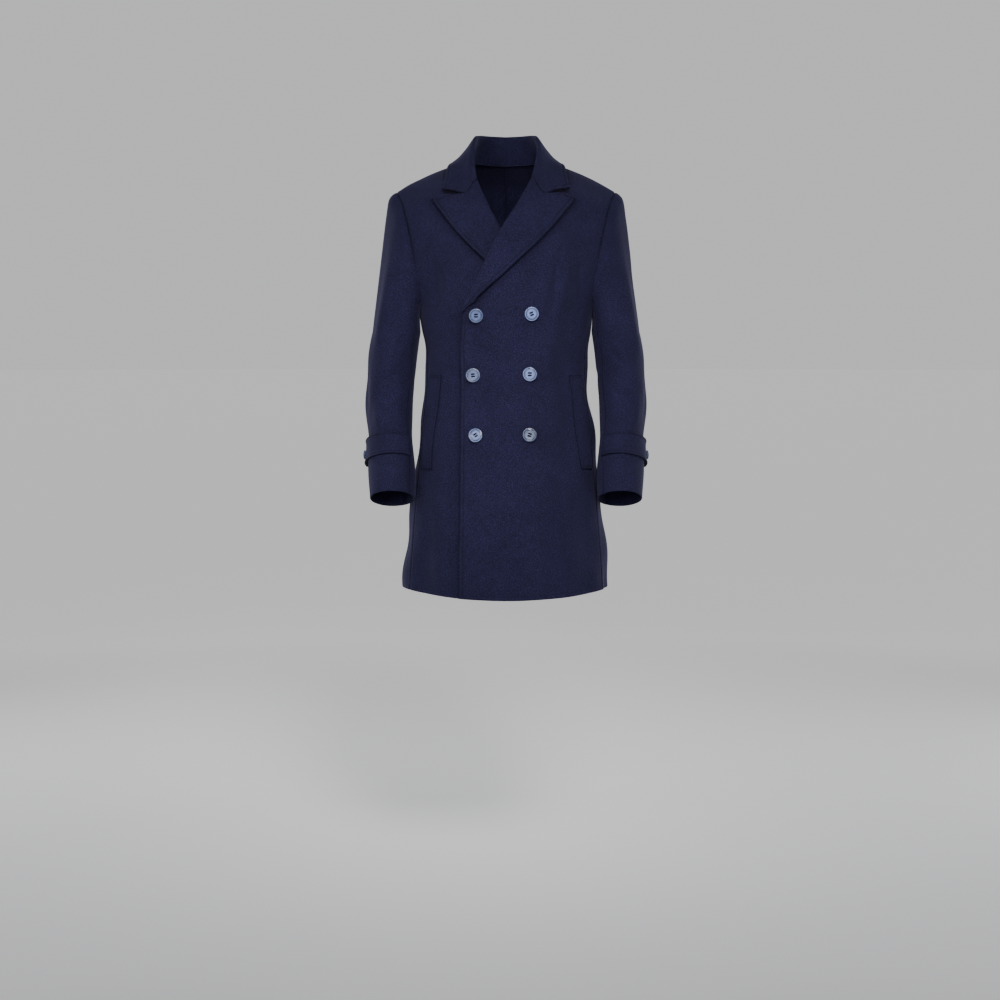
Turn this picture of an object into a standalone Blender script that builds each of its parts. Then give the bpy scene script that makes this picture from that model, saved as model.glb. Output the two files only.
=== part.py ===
"""Double-breasted three-quarter length pea coat, worn shape, hollow, in metres.

The front faces -Y and the wearer's left is +X. The origin is the middle of the neck at the height where
the collar meets the shoulders, so the coat hangs below it. Every cloth piece is a wall between two faces.
A piece is laid out as a grid of points on its outer face, and a Solidify modifier gives it its wall inwards.
"""

import math
from collections import namedtuple

import bmesh
import bpy
from mathutils import Vector
from mathutils.bvhtree import BVHTree

COAT = "pea_coat"

# Cloth
WALL = 0.0025  # melton with its facing, pressed flat
GAP = 0.0003  # between two pieces at a seam
TOP_GAP = 0.0005  # drawn back along the curved top of a panel or sleeve
LAYER_GAP = 0.0008  # between a piece and the one it lies on
ROLL_SETBACK = 0.0024  # how far a front stops short of the fold of its lapel
LAPEL_CLEAR = 0.0011  # between the flat of a lapel and the front beneath it
LAPEL_ROLL = 0.0014  # how much further a lapel stands off the chest
LAPEL_BELLY = 2.2  # how many times more it does so low down, where it rolls

# Sleeves
FRONT_SEAM = 140  # degrees round the sleeve from its outer side to the front
BACK_SEAM = 240
CAP_FULLNESS = 0.0160  # how far the sleeve head stands out from a straight line
ROPE_HEIGHT = 0.0035  # ridge along the top of the sleeve head
CAP_CURVE = 0.035  # share of the upper sleeve in which its head rises from the seam
ROPE_PLACE = 0.05  # share of the upper sleeve at the ridge, and the ridge's half width
ROPE_SPREAD = 0.06
STRAP_WIDTH = 0.047
STRAP_LIFT = 0.006  # the pointed end stands off the sleeve
STRAP_TIP = 0.04  # share of the strap's width left at its point

# Buttons
BUTTON_RADIUS = 0.0145
BUTTON_HEIGHT = 0.0045
CUFF_BUTTON_RADIUS = 0.0095
CUFF_BUTTON_HEIGHT = 0.0038
BUTTON_STEPS = 24
CUFF_BUTTON_STEPS = 16
BUTTON_RIM = 0.17  # of the radius
BUTTON_DISH = 0.62  # height of the middle and of the outer edge, as a share of the rim's
THREAD_HOLE = 0.085  # radius of a hole and how far it is from both middle lines, as shares of the radius
THREAD_HOLE_PLACE = 0.21
BUTTON_SHANK = 0.0010  # clear space between a button and its cloth
BUTTON_PLACES = (  # x and z, in pairs from the top
    (-0.0575, -0.3116),
    (0.0484, -0.3078),
    (-0.0644, -0.4308),
    (0.0452, -0.4282),
    (-0.0594, -0.5500),
    (0.0450, -0.5488),
)

# Rows of the body, from the hem to the shoulder seam. A row starts at the middle (y_mid, z_mid) and turns
# through wrap degrees of an ellipse to its outer end, on the side seam and then on the armhole.
Row = namedtuple("Row", "z_mid y_mid x_out y_out z_out wrap")
FRONT_ROWS = (
    Row(-0.878, -0.170, 0.1955, -0.0690, -0.866, 66),
    Row(-0.790, -0.162, 0.1900, -0.0640, -0.784, 67),
    Row(-0.700, -0.156, 0.1832, -0.0540, -0.697, 70),
    Row(-0.620, -0.150, 0.1760, -0.0465, -0.619, 72),
    Row(-0.540, -0.145, 0.1688, -0.0425, -0.540, 73),
    Row(-0.455, -0.140, 0.1604, -0.0365, -0.455, 75),
    Row(-0.390, -0.139, 0.1592, -0.0300, -0.390, 78),
    Row(-0.340, -0.141, 0.1700, -0.0190, -0.341, 82),
    Row(-0.300, -0.143, 0.1765, -0.0060, -0.306, 86),
    Row(-0.282, -0.143, 0.1735, -0.0350, -0.292, 75),
    Row(-0.250, -0.141, 0.1735, -0.0580, -0.262, 64),
    Row(-0.205, -0.135, 0.1800, -0.0670, -0.220, 56),
    Row(-0.150, -0.123, 0.1895, -0.0630, -0.170, 50),
    Row(-0.097, -0.106, 0.2010, -0.0460, -0.120, 44),
    Row(-0.046, -0.080, 0.2105, -0.0240, -0.084, 38),
    Row(0.008, 0.018, 0.2215, 0.0060, -0.062, 30),
)
BACK_ROWS = (
    Row(-0.872, 0.165, 0.1955, -0.0690, -0.866, 114),
    Row(-0.790, 0.155, 0.1900, -0.0640, -0.784, 113),
    Row(-0.700, 0.145, 0.1832, -0.0540, -0.697, 110),
    Row(-0.620, 0.136, 0.1760, -0.0465, -0.619, 108),
    Row(-0.540, 0.122, 0.1688, -0.0425, -0.540, 107),
    Row(-0.455, 0.108, 0.1604, -0.0365, -0.455, 105),
    Row(-0.390, 0.108, 0.1592, -0.0300, -0.390, 102),
    Row(-0.340, 0.114, 0.1700, -0.0190, -0.341, 98),
    Row(-0.300, 0.121, 0.1765, -0.0060, -0.306, 94),
    Row(-0.278, 0.126, 0.1750, 0.0300, -0.290, 86),
    Row(-0.243, 0.132, 0.1765, 0.0560, -0.258, 78),
    Row(-0.195, 0.136, 0.1815, 0.0710, -0.215, 70),
    Row(-0.140, 0.134, 0.1895, 0.0730, -0.168, 62),
    Row(-0.085, 0.122, 0.2000, 0.0600, -0.120, 54),
    Row(-0.034, 0.096, 0.2100, 0.0380, -0.084, 44),
    Row(0.008, 0.018, 0.2215, 0.0060, -0.062, 30),
)
UNDERARM = 8
SHOULDER = 15
NECK_HALF_WIDTH = 0.0745
NECK_DROP = 0.46  # rows by which the neck dips below the shoulder at the middle of the back
FRONT_ROWS, BACK_ROWS = FRONT_ROWS + (BACK_ROWS[SHOULDER - 1],), BACK_ROWS + (FRONT_ROWS[SHOULDER - 1],)

# How far each front runs past the middle at a height, down its front edge and, above the top button, along
# the line where the lapel rolls back. It is negative where the front stops short of the middle.
Reach = namedtuple("Reach", "z left right")
FRONT_REACH = (
    Reach(-0.900, 0.0930, 0.0930),
    Reach(-0.600, 0.0905, 0.0905),
    Reach(-0.340, 0.0880, 0.0870),
    Reach(-0.303, 0.0812, 0.0800),
    Reach(-0.280, 0.0708, 0.0690),
    Reach(-0.236, 0.0496, 0.0415),
    Reach(-0.205, 0.0353, 0.0230),
    Reach(-0.142, 0.0059, -0.0136),
    Reach(-0.097, -0.0225, -0.0376),
    Reach(-0.053, -0.0455, -0.0562),
    Reach(-0.028, -0.0571, -0.0655),
    Reach(0.002, -0.0665, -0.0706),
    Reach(0.030, -0.0720, -0.0735),
)

# Where the left front comes down beside the right one, above it, and off the right lapel under it
OVERLAP_SIDE = (0.099, 0.150)
OVERLAP_TOP = (-0.125, -0.060)
LAPEL_BREAK = (-0.345, -0.300)

# Outer edge of each lapel below its peak
LapelEdge = namedtuple("LapelEdge", "z left right")
LAPEL_EDGE = (
    LapelEdge(-0.3020, -0.0800, -0.0780),
    LapelEdge(-0.2950, -0.0745, -0.0680),
    LapelEdge(-0.2860, -0.0602, -0.0500),
    LapelEdge(-0.2720, -0.0495, -0.0350),
    LapelEdge(-0.2440, -0.0194, -0.0020),
    LapelEdge(-0.2070, 0.0201, 0.0375),
    LapelEdge(-0.1650, 0.0640, 0.0805),
    LapelEdge(-0.1180, 0.1070, 0.1215),
    LapelEdge(-0.0790, 0.1368, 0.1480),
)

# Along the top of each lapel: the height where the gorge seam meets the roll, then the notch
Corner = namedtuple("Corner", "x z")
GORGE_HEIGHT = {"left": -0.0400, "right": -0.0455}
NOTCH = {"left": Corner(0.0714, -0.0706), "right": Corner(0.0799, -0.0714)}
GORGE_GAP = 0.0013
NOTCH_OPENING = 0.0020  # how much the lower edge of the leaf bows up
LEAF_TIP = {"left": Corner(0.1260, -0.0606), "right": Corner(0.1268, -0.0632)}
NOTCH_SHARE = 0.4  # of the lapel's width at the notch
LAPEL_BOW = {"left": 0.0055, "right": 0.0020}  # how much the lapel's top edge bows up

# The collar from the middle of the back to its front end: seam to the neck, fold and free edge
CollarRow = namedtuple("CollarRow", "x_seam y_seam z_seam x_fold y_fold z_fold x_edge y_edge z_edge")
COLLAR_ROWS = (
    CollarRow(0.0000, 0.0780, -0.006, 0.0000, 0.0690, 0.050, 0.0000, 0.1010, -0.024),
    CollarRow(0.0330, 0.0710, -0.005, 0.0300, 0.0610, 0.051, 0.0440, 0.0960, -0.023),
    CollarRow(0.0590, 0.0460, -0.001, 0.0510, 0.0370, 0.051, 0.0840, 0.0745, -0.0175),
    CollarRow(0.0705, 0.0140, 0.002, 0.0590, 0.0080, 0.046, 0.1095, 0.0300, -0.007),
    CollarRow(0.0700, -0.0130, -0.001, 0.0620, -0.0180, 0.026, 0.1170, -0.0200, -0.014),
    CollarRow(0.0650, -0.0400, -0.012, 0.0610, -0.0420, 0.002, 0.1230, -0.0530, -0.032),
    CollarRow(0.0570, -0.0660, -0.032, 0.0545, -0.0705, -0.0300, 0.1280, -0.0800, -0.0546),
)
FOLD_RADIUS = 0.0042
FOLD_RADIUS_FRONT = 0.0028  # where the stand runs out
FALL_SAG = 0.003  # the fall is a little hollow between its fold and its edge

# The sleeve below the underarm: middle, half sizes and how far each ring leans, in degrees
Ring = namedtuple("Ring", "x y z half_width half_depth lean")
SLEEVE_RINGS = (
    Ring(0.2228, 0.004, -0.345, 0.0489, 0.0735, 0),
    Ring(0.2322, 0.006, -0.400, 0.0485, 0.0715, 2),
    Ring(0.2360, 0.003, -0.455, 0.0475, 0.0685, 6),
    Ring(0.2365, -0.008, -0.510, 0.0470, 0.0650, 12),
    Ring(0.2350, -0.028, -0.565, 0.0468, 0.0600, 18),
    Ring(0.2320, -0.051, -0.620, 0.0466, 0.0550, 21),
    Ring(0.2290, -0.077, -0.680, 0.0460, 0.0505, 22),
)
CUFF = len(SLEEVE_RINGS)  # sleeve height is 0 at the armhole, 1 at the first ring, CUFF at the cuff
STRAP_HEIGHT = 5.38
STRAP_POINT = -48  # degrees round the sleeve at the strap's tip
STRAP_START = 3  # degrees between the front seam and the strap's end
STRAP_STRAIGHT = 0.90  # share of the strap before its point
RING_STEP = 0.057  # length of the lower sleeve between two rings
CUFF_BUTTON_ANGLE = -24

# Slanted pocket welts on the fronts: ends of the inner edge, and the width
WELT_TOP = Corner(0.1285, -0.4310)
WELT_BOTTOM = Corner(0.1480, -0.6210)
WELT_WIDTH = 0.0225

# Points across and along each grid
FRONT_GRID = (14, 23)
BACK_GRID = (12, 23)
COLLAR_GRID = 23
LAPEL_GRID = (6, 11)
STRAP_GRID = (21, 4)
WELT_GRID = (4, 8)
SLEEVE_TOP_COLUMNS = 15
SLEEVE_UNDER_COLUMNS = 7
CAP_STEPS = (0.0, 0.03, 0.08, 0.18, 0.36, 0.56, 0.78)
RING_STEPS = 9
SIDES = {"left": 1, "right": -1}

CLOTH = ((0.016, 0.017, 0.048, 1.0), 0.9)
BUTTON = ((0.105, 0.140, 0.235, 1.0), 0.25)


def clamp(value):
    return min(1.0, max(0.0, value))


def smoothstep(low, high, value):
    share = clamp((value - low) / (high - low))
    return share * share * (3 - 2 * share)


def row_at(rows, place, corner=None):
    """The row at a fractional place in a table, on a smooth curve through its rows.

    The outer ends may turn a corner at one row, as the side seam does where it meets the armhole.
    """
    first = min(len(rows) - 2, max(0, math.floor(place)))
    share = place - first
    before, here = rows[max(0, first - 1)], rows[first]
    there, after = rows[first + 1], rows[min(len(rows) - 1, first + 2)]
    values = []
    for name, a, b, c, d in zip(here._fields, before, here, there, after):
        if name.endswith("_out") and corner is not None:
            a = 2 * b - c if first == corner else a
            d = 2 * c - b if first + 1 == corner else d
        slope_b, slope_c = (c - a) / 2, (d - b) / 2
        bend = 3 * (c - b) - 2 * slope_b - slope_c
        twist = 2 * (b - c) + slope_b + slope_c
        values.append(b + share * (slope_b + share * (bend + share * twist)))
    return type(here)(*values)


def column_at(rows, height, name):
    """A named column of a table at a height, smooth between the rows."""
    heights = [row.z for row in rows]
    if height <= heights[0]:
        return getattr(rows[0], name)
    if height >= heights[-1]:
        return getattr(rows[-1], name)
    first = max(i for i in range(len(rows) - 1) if heights[i] <= height)
    values = [getattr(row, name) for row in rows]
    span = heights[first + 1] - heights[first]

    def slope(i):
        low, high = max(0, i - 1), min(len(rows) - 1, i + 1)
        return (values[high] - values[low]) / (heights[high] - heights[low])

    share = (height - heights[first]) / span
    start, end = values[first], values[first + 1]
    slope_start, slope_end = slope(first) * span, slope(first + 1) * span
    bend = 3 * (end - start) - 2 * slope_start - slope_end
    twist = 2 * (start - end) + slope_start + slope_end
    return start + share * (slope_start + share * (bend + share * twist))


def body_point(rows, place, share):
    """A point of the body: place counts rows up from the hem, share is 0 in the middle and 1 at the side."""
    row = row_at(rows, place, UNDERARM)
    wrap = math.radians(row.wrap)
    angle = wrap * share
    across = math.sin(angle) / math.sin(wrap)
    deep = (1 - math.cos(angle)) / (1 - math.cos(wrap))
    return Vector((
        row.x_out * across,
        row.y_mid + (row.y_out - row.y_mid) * deep,
        row.z_mid + (row.z_out - row.z_mid) * across * across,
    ))


def share_at(rows, place, x):
    """The share of a row at which it is x from the middle."""
    row = row_at(rows, place, UNDERARM)
    wrap = math.radians(row.wrap)
    sine = max(-1.0, min(1.0, x * math.sin(wrap) / row.x_out))
    return math.asin(sine) / wrap


def surface_normal(point_at, u, v, step=0.01):
    along = point_at(u + step, v) - point_at(u - step, v)
    up = point_at(u, v + step) - point_at(u, v - step)
    return along.cross(up).normalized()


def front_normal(share, place):
    return surface_normal(lambda u, v: body_point(FRONT_ROWS, v, u), share, place)


def chest_place(x, z):
    """The place in FRONT_ROWS of the point of the front that is seen at x, z."""
    low, high = 0.0, float(SHOULDER)
    for _ in range(30):
        middle = (low + high) / 2
        row = row_at(FRONT_ROWS, middle, UNDERARM)
        height = row.z_mid + (row.z_out - row.z_mid) * (x / row.x_out) ** 2
        low, high = (middle, high) if height < z else (low, middle)
    return (low + high) / 2


def chest_point(x, z, lift):
    """The point of the front seen at x, z from ahead, moved out by lift."""
    place = chest_place(x, z)
    share = share_at(FRONT_ROWS, place, x)
    return body_point(FRONT_ROWS, place, share) + front_normal(share, place) * lift


def overlap_lift(x, z):
    """How far the left front stands out over the right front and the right lapel beneath it."""
    shared = (1 - smoothstep(*OVERLAP_SIDE, x)) * (1 - smoothstep(*OVERLAP_TOP, z))
    over_lapel = shared * smoothstep(*LAPEL_BREAK, z)
    return (WALL + LAYER_GAP) * shared + (WALL + LAPEL_CLEAR + LAYER_GAP) * over_lapel


def front_lift(side, x, z):
    return overlap_lift(x, z) if side == "left" else 0.0


def spread(count, margin=0.02):
    """Places from 0 to 1 with a narrow first and last step, so that a wall ends square to its surface."""
    inner = [margin + (1 - 2 * margin) * i / (count - 3) for i in range(count - 2)]
    return [0.0] + inner + [1.0]


def inset(grid, side_gap=GAP / 2):
    """Draw the seam edges of a grid back from its neighbours."""
    for line in grid:
        line[0] = line[0] + (line[1] - line[0]).normalized() * side_gap
        line[-1] = line[-1] + (line[-2] - line[-1]).normalized() * side_gap
    for i in range(len(grid[0])):
        grid[-1][i] = grid[-1][i] + (grid[-2][i] - grid[-1][i]).normalized() * TOP_GAP
    return grid


def mirrored(grid, side):
    if side == "left":
        return grid
    return [[Vector((-p.x, p.y, p.z)) for p in line] for line in grid]


def front_edge(side, z):
    """The inner edge of a front at a height, a little short of the line that the lapel rolls on."""
    return ROLL_SETBACK * smoothstep(-0.320, -0.295, z) - column_at(FRONT_REACH, z, side)


def front_grid(side):
    columns, lines = FRONT_GRID
    grid = []
    for rise in spread(lines, 0.01):
        place = SHOULDER * rise
        edge = 0.0
        for _ in range(8):
            row = row_at(FRONT_ROWS, place, UNDERARM)
            height = row.z_mid + (row.z_out - row.z_mid) * (edge / row.x_out) ** 2
            edge = front_edge(side, height)
        start = share_at(FRONT_ROWS, place, edge)
        line = []
        for part in spread(columns):
            share = start + (1 - start) * part
            point = body_point(FRONT_ROWS, place, share)
            line.append(point + front_normal(share, place) * front_lift(side, point.x, point.z))
        grid.append(line)
    return mirrored(inset(grid), side)


def neck_place(x):
    """The top of the back at x from the middle: the neck opening, then the shoulder seam."""
    across = clamp(x / NECK_HALF_WIDTH)
    return SHOULDER - NECK_DROP * math.sqrt(1 - across * across)


def back_grid(side):
    columns, lines = BACK_GRID
    grid = []
    for rise in spread(lines, 0.01):
        line = []
        for share in spread(columns):
            top = SHOULDER - NECK_DROP / 2
            for _ in range(6):
                top = neck_place(body_point(BACK_ROWS, top, share).x)
            line.append(body_point(BACK_ROWS, top * rise, share))
        grid.append(line)
    return mirrored(inset(grid), side)


def body_tree():
    """Both fronts and both backs as one surface, to lay the collar on."""
    points, faces = [], []
    for rows in (FRONT_ROWS, BACK_ROWS):
        start = len(points)
        columns, lines = 41, 61
        for j in range(lines):
            for i in range(columns):
                share = -1 + 2 * i / (columns - 1)
                points.append(body_point(rows, SHOULDER * (0.5 + 0.5 * j / (lines - 1)), share))
        for j in range(lines - 1):
            for i in range(columns - 1):
                corner = start + j * columns + i
                quad = (corner, corner + 1, corner + columns + 1, corner + columns)
                faces.append(quad if rows is FRONT_ROWS else quad[::-1])
    return BVHTree.FromPolygons(points, faces)


def laid(tree, point, clearance):
    """A point, moved out where it is nearer to the body than the clearance."""
    near, normal, _, _ = tree.find_nearest(point)
    height = (point - near).dot(normal)
    if height >= clearance:
        return point
    return near + normal * clearance


def collar_line(row):
    """Points across the collar, from its seam up the stand, round the fold and down the fall."""
    seam = Vector((row.x_seam, row.y_seam, row.z_seam))
    fold = Vector((row.x_fold, row.y_fold, row.z_fold))
    edge = Vector((row.x_edge, row.y_edge, row.z_edge))
    out = edge - fold
    out.z = 0
    out.normalize()
    up = Vector((0, 0, 1))
    radius = min(FOLD_RADIUS, max(FOLD_RADIUS_FRONT, (fold.z - seam.z) * 0.3))
    center = fold + out * radius
    stand = [seam, seam.lerp(fold, 0.5)]
    turn = [center - out * radius, center + (up - out).normalized() * radius, center + up * radius]
    start = center + (up * 0.6 + out * 0.8) * radius
    fall = [start]
    for share in (0.3, 0.65, 1.0):
        fall.append(start.lerp(edge, share) - up * FALL_SAG * math.sin(math.pi * share))
    return stand + turn + fall


def gorge_start(side):
    return Corner(-column_at(FRONT_REACH, GORGE_HEIGHT[side], side), GORGE_HEIGHT[side])


def collar_front(side):
    """The front end of the collar: round the roll, down the gorge seam to the notch, out to the leaf's tip."""
    gorge, notch, tip = gorge_start(side), NOTCH[side], LEAF_TIP[side]
    height = WALL + LAPEL_CLEAR + LAPEL_ROLL
    places = (
        (gorge.x, gorge.z + GORGE_GAP),
        ((gorge.x + notch.x) / 2, (gorge.z + notch.z) / 2 + GORGE_GAP),
        (notch.x, notch.z + 2 * GORGE_GAP),
        ((notch.x + tip.x) / 2, (notch.z + tip.z) / 2 + NOTCH_OPENING),
        tip,
    )
    line = [chest_point(x, z, height) for x, z in places]
    return roll_points(line, gorge.x, gorge.z + GORGE_GAP, height) + line


def collar_grid(tree):
    last = len(COLLAR_ROWS) - 1
    half = COLLAR_GRID // 2
    plain_end = collar_line(COLLAR_ROWS[-1])
    fronts = {side: collar_front(side) for side in SIDES}
    grid = []
    for j in range(-half, half + 1):
        side = "left" if j >= 0 else "right"
        place = last * abs(j) / half
        line = collar_line(row_at(COLLAR_ROWS, place))
        nearness = smoothstep(last - 2.2, last, place)
        for i, (plain, front) in enumerate(zip(plain_end, fronts[side])):
            line[i] = line[i] + (front - plain) * nearness
            if i > 5:
                line[i] = laid(tree, line[i], WALL + LAYER_GAP)
        grid.append([Vector((p.x * SIDES[side], p.y, p.z)) for p in line])
    return grid


def lapel_grid(side):
    """The lapel from the break of the front edge up to its peak, with the fold round the front's edge."""
    across, lines = LAPEL_GRID
    gorge, notch = gorge_start(side), NOTCH[side]
    bottom = LAPEL_EDGE[0].z
    top = LAPEL_EDGE[-1].z
    peak = Corner(getattr(LAPEL_EDGE[-1], side), top)
    grid = []
    for j in range(lines):
        rise = j / (lines - 1)
        z_roll = bottom + (gorge.z - bottom) * rise
        x_roll = -column_at(FRONT_REACH, z_roll, side)
        z_edge = bottom + (top - bottom) * rise ** 0.92
        x_edge = max(x_roll + 0.004, column_at(LAPEL_EDGE, z_edge, side))
        bent = smoothstep(0.62, 1.0, rise)
        belly = (1 - smoothstep(0.0, 0.75, rise)) * smoothstep(0.0, 0.12, rise)
        roll = LAPEL_ROLL * (1 + LAPEL_BELLY * belly)

        def layer(x, z):
            bare = 1.0 if side == "left" else smoothstep(0.004, 0.030, x - column_at(FRONT_REACH, z, "left"))
            return front_lift(side, x, z) + WALL + LAPEL_CLEAR + roll * bare

        line = []
        for i in range(across):
            share = i / (across - 1)
            x = x_roll + (x_edge - x_roll) * share
            z = z_roll + (z_edge - z_roll) * share
            start, end, part, bow = gorge, notch, share / NOTCH_SHARE, 0.0
            if share > NOTCH_SHARE:
                start, end, part = notch, peak, (share - NOTCH_SHARE) / (1 - NOTCH_SHARE)
                bow = LAPEL_BOW[side] * math.sin(math.pi * part ** 1.6)
            x += (start.x + (end.x - start.x) * part - x) * bent
            z += (start.z + (end.z - start.z) * part + bow - z) * bent
            line.append(chest_point(x, z, layer(x, z)))
        line = roll_points(line, x_roll, z_roll, layer(x_roll, z_roll)) + line
        grid.append(line)
    return mirrored(grid, side)


def roll_points(line, x_roll, z_roll, height):
    """Points that carry the lapel round the raw edge of the front behind it."""
    edge = chest_point(x_roll, z_roll, 0)
    normal = (line[0] - edge).normalized()
    across = (line[1] - line[0]).normalized()
    inward = -(across - normal * across.dot(normal)).normalized()
    radius = WALL + LAYER_GAP + WALL / 2
    depth = height - radius
    center = edge + normal * depth
    points = []
    for degrees in (-20, 10, 40, 70):
        angle = math.radians(degrees)
        points.append(center + inward * radius * math.cos(angle) + normal * radius * math.sin(angle))
    return points


def armhole_point(angle):
    """The armhole at an angle round the sleeve: 0 at the shoulder, 180 at the underarm, forward first."""
    turn = angle % 360
    if turn <= 180:
        rows, share = FRONT_ROWS, turn / 180
    else:
        rows, share = BACK_ROWS, (360 - turn) / 180
    return body_point(rows, SHOULDER - (SHOULDER - UNDERARM) * share, 1)


def ring_point(place, angle):
    ring = row_at(SLEEVE_RINGS, place)
    turn, lean = math.radians(angle), math.radians(ring.lean)
    forward = ring.half_depth * math.sin(turn)
    return Vector((
        ring.x + ring.half_width * math.cos(turn),
        ring.y - forward * math.cos(lean),
        ring.z + forward * math.sin(lean),
    ))


def sleeve_point(angle, height):
    """A point of the sleeve: height 0 at the armhole, 1 at the first ring and CUFF at the cuff."""
    if height >= 1:
        return ring_point(height - 1, angle)
    turn = math.radians(angle)
    start, end = armhole_point(angle), ring_point(0, angle)
    upper = 0.5 + 0.5 * math.cos(turn)
    rise = 1 - math.exp(-height / CAP_CURVE)
    fullness = CAP_FULLNESS * upper * rise * (1 - height) ** 0.9
    out = Vector((1.0 * upper + 0.25, -0.55 * math.sin(turn), 0.0)).normalized()
    rope = ROPE_HEIGHT * upper * upper * math.exp(-((height - ROPE_PLACE) / ROPE_SPREAD) ** 2) * rise
    point = start.lerp(end, height) + out * fullness + Vector((0.3, 0, 1)) * rope
    return point + Vector((2 * GAP * (1 - height), 0, 0))


def sleeve_heights():
    rings = [1 + (CUFF - 1) * j / (RING_STEPS - 1) for j in range(RING_STEPS)]
    return list(CAP_STEPS) + rings


def sleeve_grid(side, first, last, columns):
    grid = []
    for height in sleeve_heights():
        line = []
        for share in spread(columns):
            angle = first + (last - first) * share
            line.append(sleeve_point(angle, height))
        grid.append(line)
    return mirrored(inset(grid, GAP * 0.9), side)


def strap_point(angle, height):
    """The outer face of the cuff strap, which lies on the sleeve and stands off it towards its tip."""
    start = FRONT_SEAM - STRAP_START
    share = (angle - start) / (STRAP_POINT - start)
    normal = surface_normal(sleeve_point, angle, height, 0.02)
    lift = WALL + LAYER_GAP + STRAP_LIFT * smoothstep(0.60, 0.95, share)
    return sleeve_point(angle, height) + normal * lift


def strap_grid(side):
    """The cuff strap: caught in the front seam, round the outside, to a point that stands off."""
    half = STRAP_WIDTH / 2 / RING_STEP
    start = FRONT_SEAM - STRAP_START
    columns, across = STRAP_GRID
    grid = []
    for j in range(across):
        line = []
        for i in range(columns):
            share = i / (columns - 1)
            taper = 1 - (1 - STRAP_TIP) * max(0.0, share - STRAP_STRAIGHT) / (1 - STRAP_STRAIGHT)
            height = STRAP_HEIGHT + half * (2 * j / (across - 1) - 1) * taper
            line.append(strap_point(start + (STRAP_POINT - start) * share, height))
        grid.append(line)
    return mirrored(grid, side)


def welt_grid(side):
    grid = []
    columns, lines = WELT_GRID
    for j in range(lines):
        share = j / (lines - 1)
        line = []
        for i in range(columns):
            x = WELT_BOTTOM.x + (WELT_TOP.x - WELT_BOTTOM.x) * share + WELT_WIDTH * i / (columns - 1)
            z = WELT_BOTTOM.z + (WELT_TOP.z - WELT_BOTTOM.z) * share
            lift = front_lift(side, x, z) + WALL + LAYER_GAP
            line.append(chest_point(x, z, lift))
        grid.append(line)
    return mirrored(grid, side)


def make_material(name, colour, roughness):
    material = bpy.data.materials.new(name)
    material.use_nodes = True
    shader = material.node_tree.nodes["Principled BSDF"]
    shader.inputs["Base Color"].default_value = colour
    shader.inputs["Roughness"].default_value = roughness
    shader.inputs["Metallic"].default_value = 0.0
    return material


def add_mesh(name, mesh, finish, collection):
    obj = bpy.data.objects.new(name, mesh)
    colour, roughness = finish
    mesh.materials.append(make_material(name + "_finish", colour, roughness))
    collection.objects.link(obj)
    return obj


def add_shell(name, grid, collection, wall=WALL):
    """A cloth piece: a grid of points as its outer face, with its wall on the inner side."""
    columns = len(grid[0])
    points = [point for line in grid for point in line]
    faces = []
    for j in range(len(grid) - 1):
        for i in range(columns - 1):
            corner = j * columns + i
            faces.append((corner, corner + 1, corner + columns + 1, corner + columns))
    mesh = bpy.data.meshes.new(name)
    mesh.from_pydata(points, [], faces)
    mesh.shade_smooth()
    obj = add_mesh(name, mesh, CLOTH, collection)
    solid = obj.modifiers.new("wall", "SOLIDIFY")
    solid.thickness = wall
    solid.offset = -1
    return obj


def flip(grid):
    return [line[::-1] for line in grid]


def add_button(name, place, normal, radius, height, steps, collection):
    """A turned button with a raised rim and four thread holes, its back on the given place."""
    rim = radius * BUTTON_RIM
    profile = (
        (0.0, height * BUTTON_DISH),
        (radius - 1.6 * rim, height * BUTTON_DISH),
        (radius - 1.1 * rim, height * 0.95),
        (radius - 0.6 * rim, height),
        (radius, height * BUTTON_DISH),
        (radius * 0.96, height * 0.25),
        (radius * 0.80, 0.0),
        (0.0, 0.0),
    )
    mesh = bpy.data.meshes.new(name)
    shape = bmesh.new()
    ring = [shape.verts.new((x, 0, z)) for x, z in profile]
    edges = [shape.edges.new(pair) for pair in zip(ring, ring[1:])]
    whole = 2 * math.pi
    middle, upright = (0, 0, 0), (0, 0, 1)
    bmesh.ops.spin(
        shape, geom=ring + edges, cent=middle, axis=upright, angle=whole, steps=steps, use_merge=True
    )
    bmesh.ops.remove_doubles(shape, verts=shape.verts, dist=1e-6)
    bmesh.ops.recalc_face_normals(shape, faces=shape.faces)
    shape.to_mesh(mesh)
    shape.free()
    mesh.shade_smooth()
    mesh.set_sharp_from_angle(angle=math.radians(40))
    obj = add_mesh(name, mesh, BUTTON, collection)
    turn = Vector((0, 0, 1)).rotation_difference(normal)
    obj.rotation_mode = "QUATERNION"
    obj.rotation_quaternion = turn
    obj.location = place
    return obj


def drill(obj, radius, height, cutters):
    """Cut the four thread holes of a button."""
    place = radius * THREAD_HOLE_PLACE
    hole = radius * THREAD_HOLE
    mesh = bpy.data.meshes.new(obj.name + "_holes")
    shape = bmesh.new()
    for x in (-place, place):
        for y in (-place, place):
            made = bmesh.ops.create_cone(
                shape, cap_ends=True, segments=8, radius1=hole, radius2=hole, depth=4 * height
            )
            bmesh.ops.translate(shape, verts=made["verts"], vec=(x, y, 0))
    shape.to_mesh(mesh)
    shape.free()
    cutter = bpy.data.objects.new(obj.name + "_holes", mesh)
    cutter.location = obj.location
    cutter.rotation_mode = "QUATERNION"
    cutter.rotation_quaternion = obj.rotation_quaternion
    cutter.hide_render = True
    cutter.display_type = "WIRE"
    cutters.objects.link(cutter)
    cut = obj.modifiers.new("thread_holes", "BOOLEAN")
    cut.operation = "DIFFERENCE"
    cut.object = cutter


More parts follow.
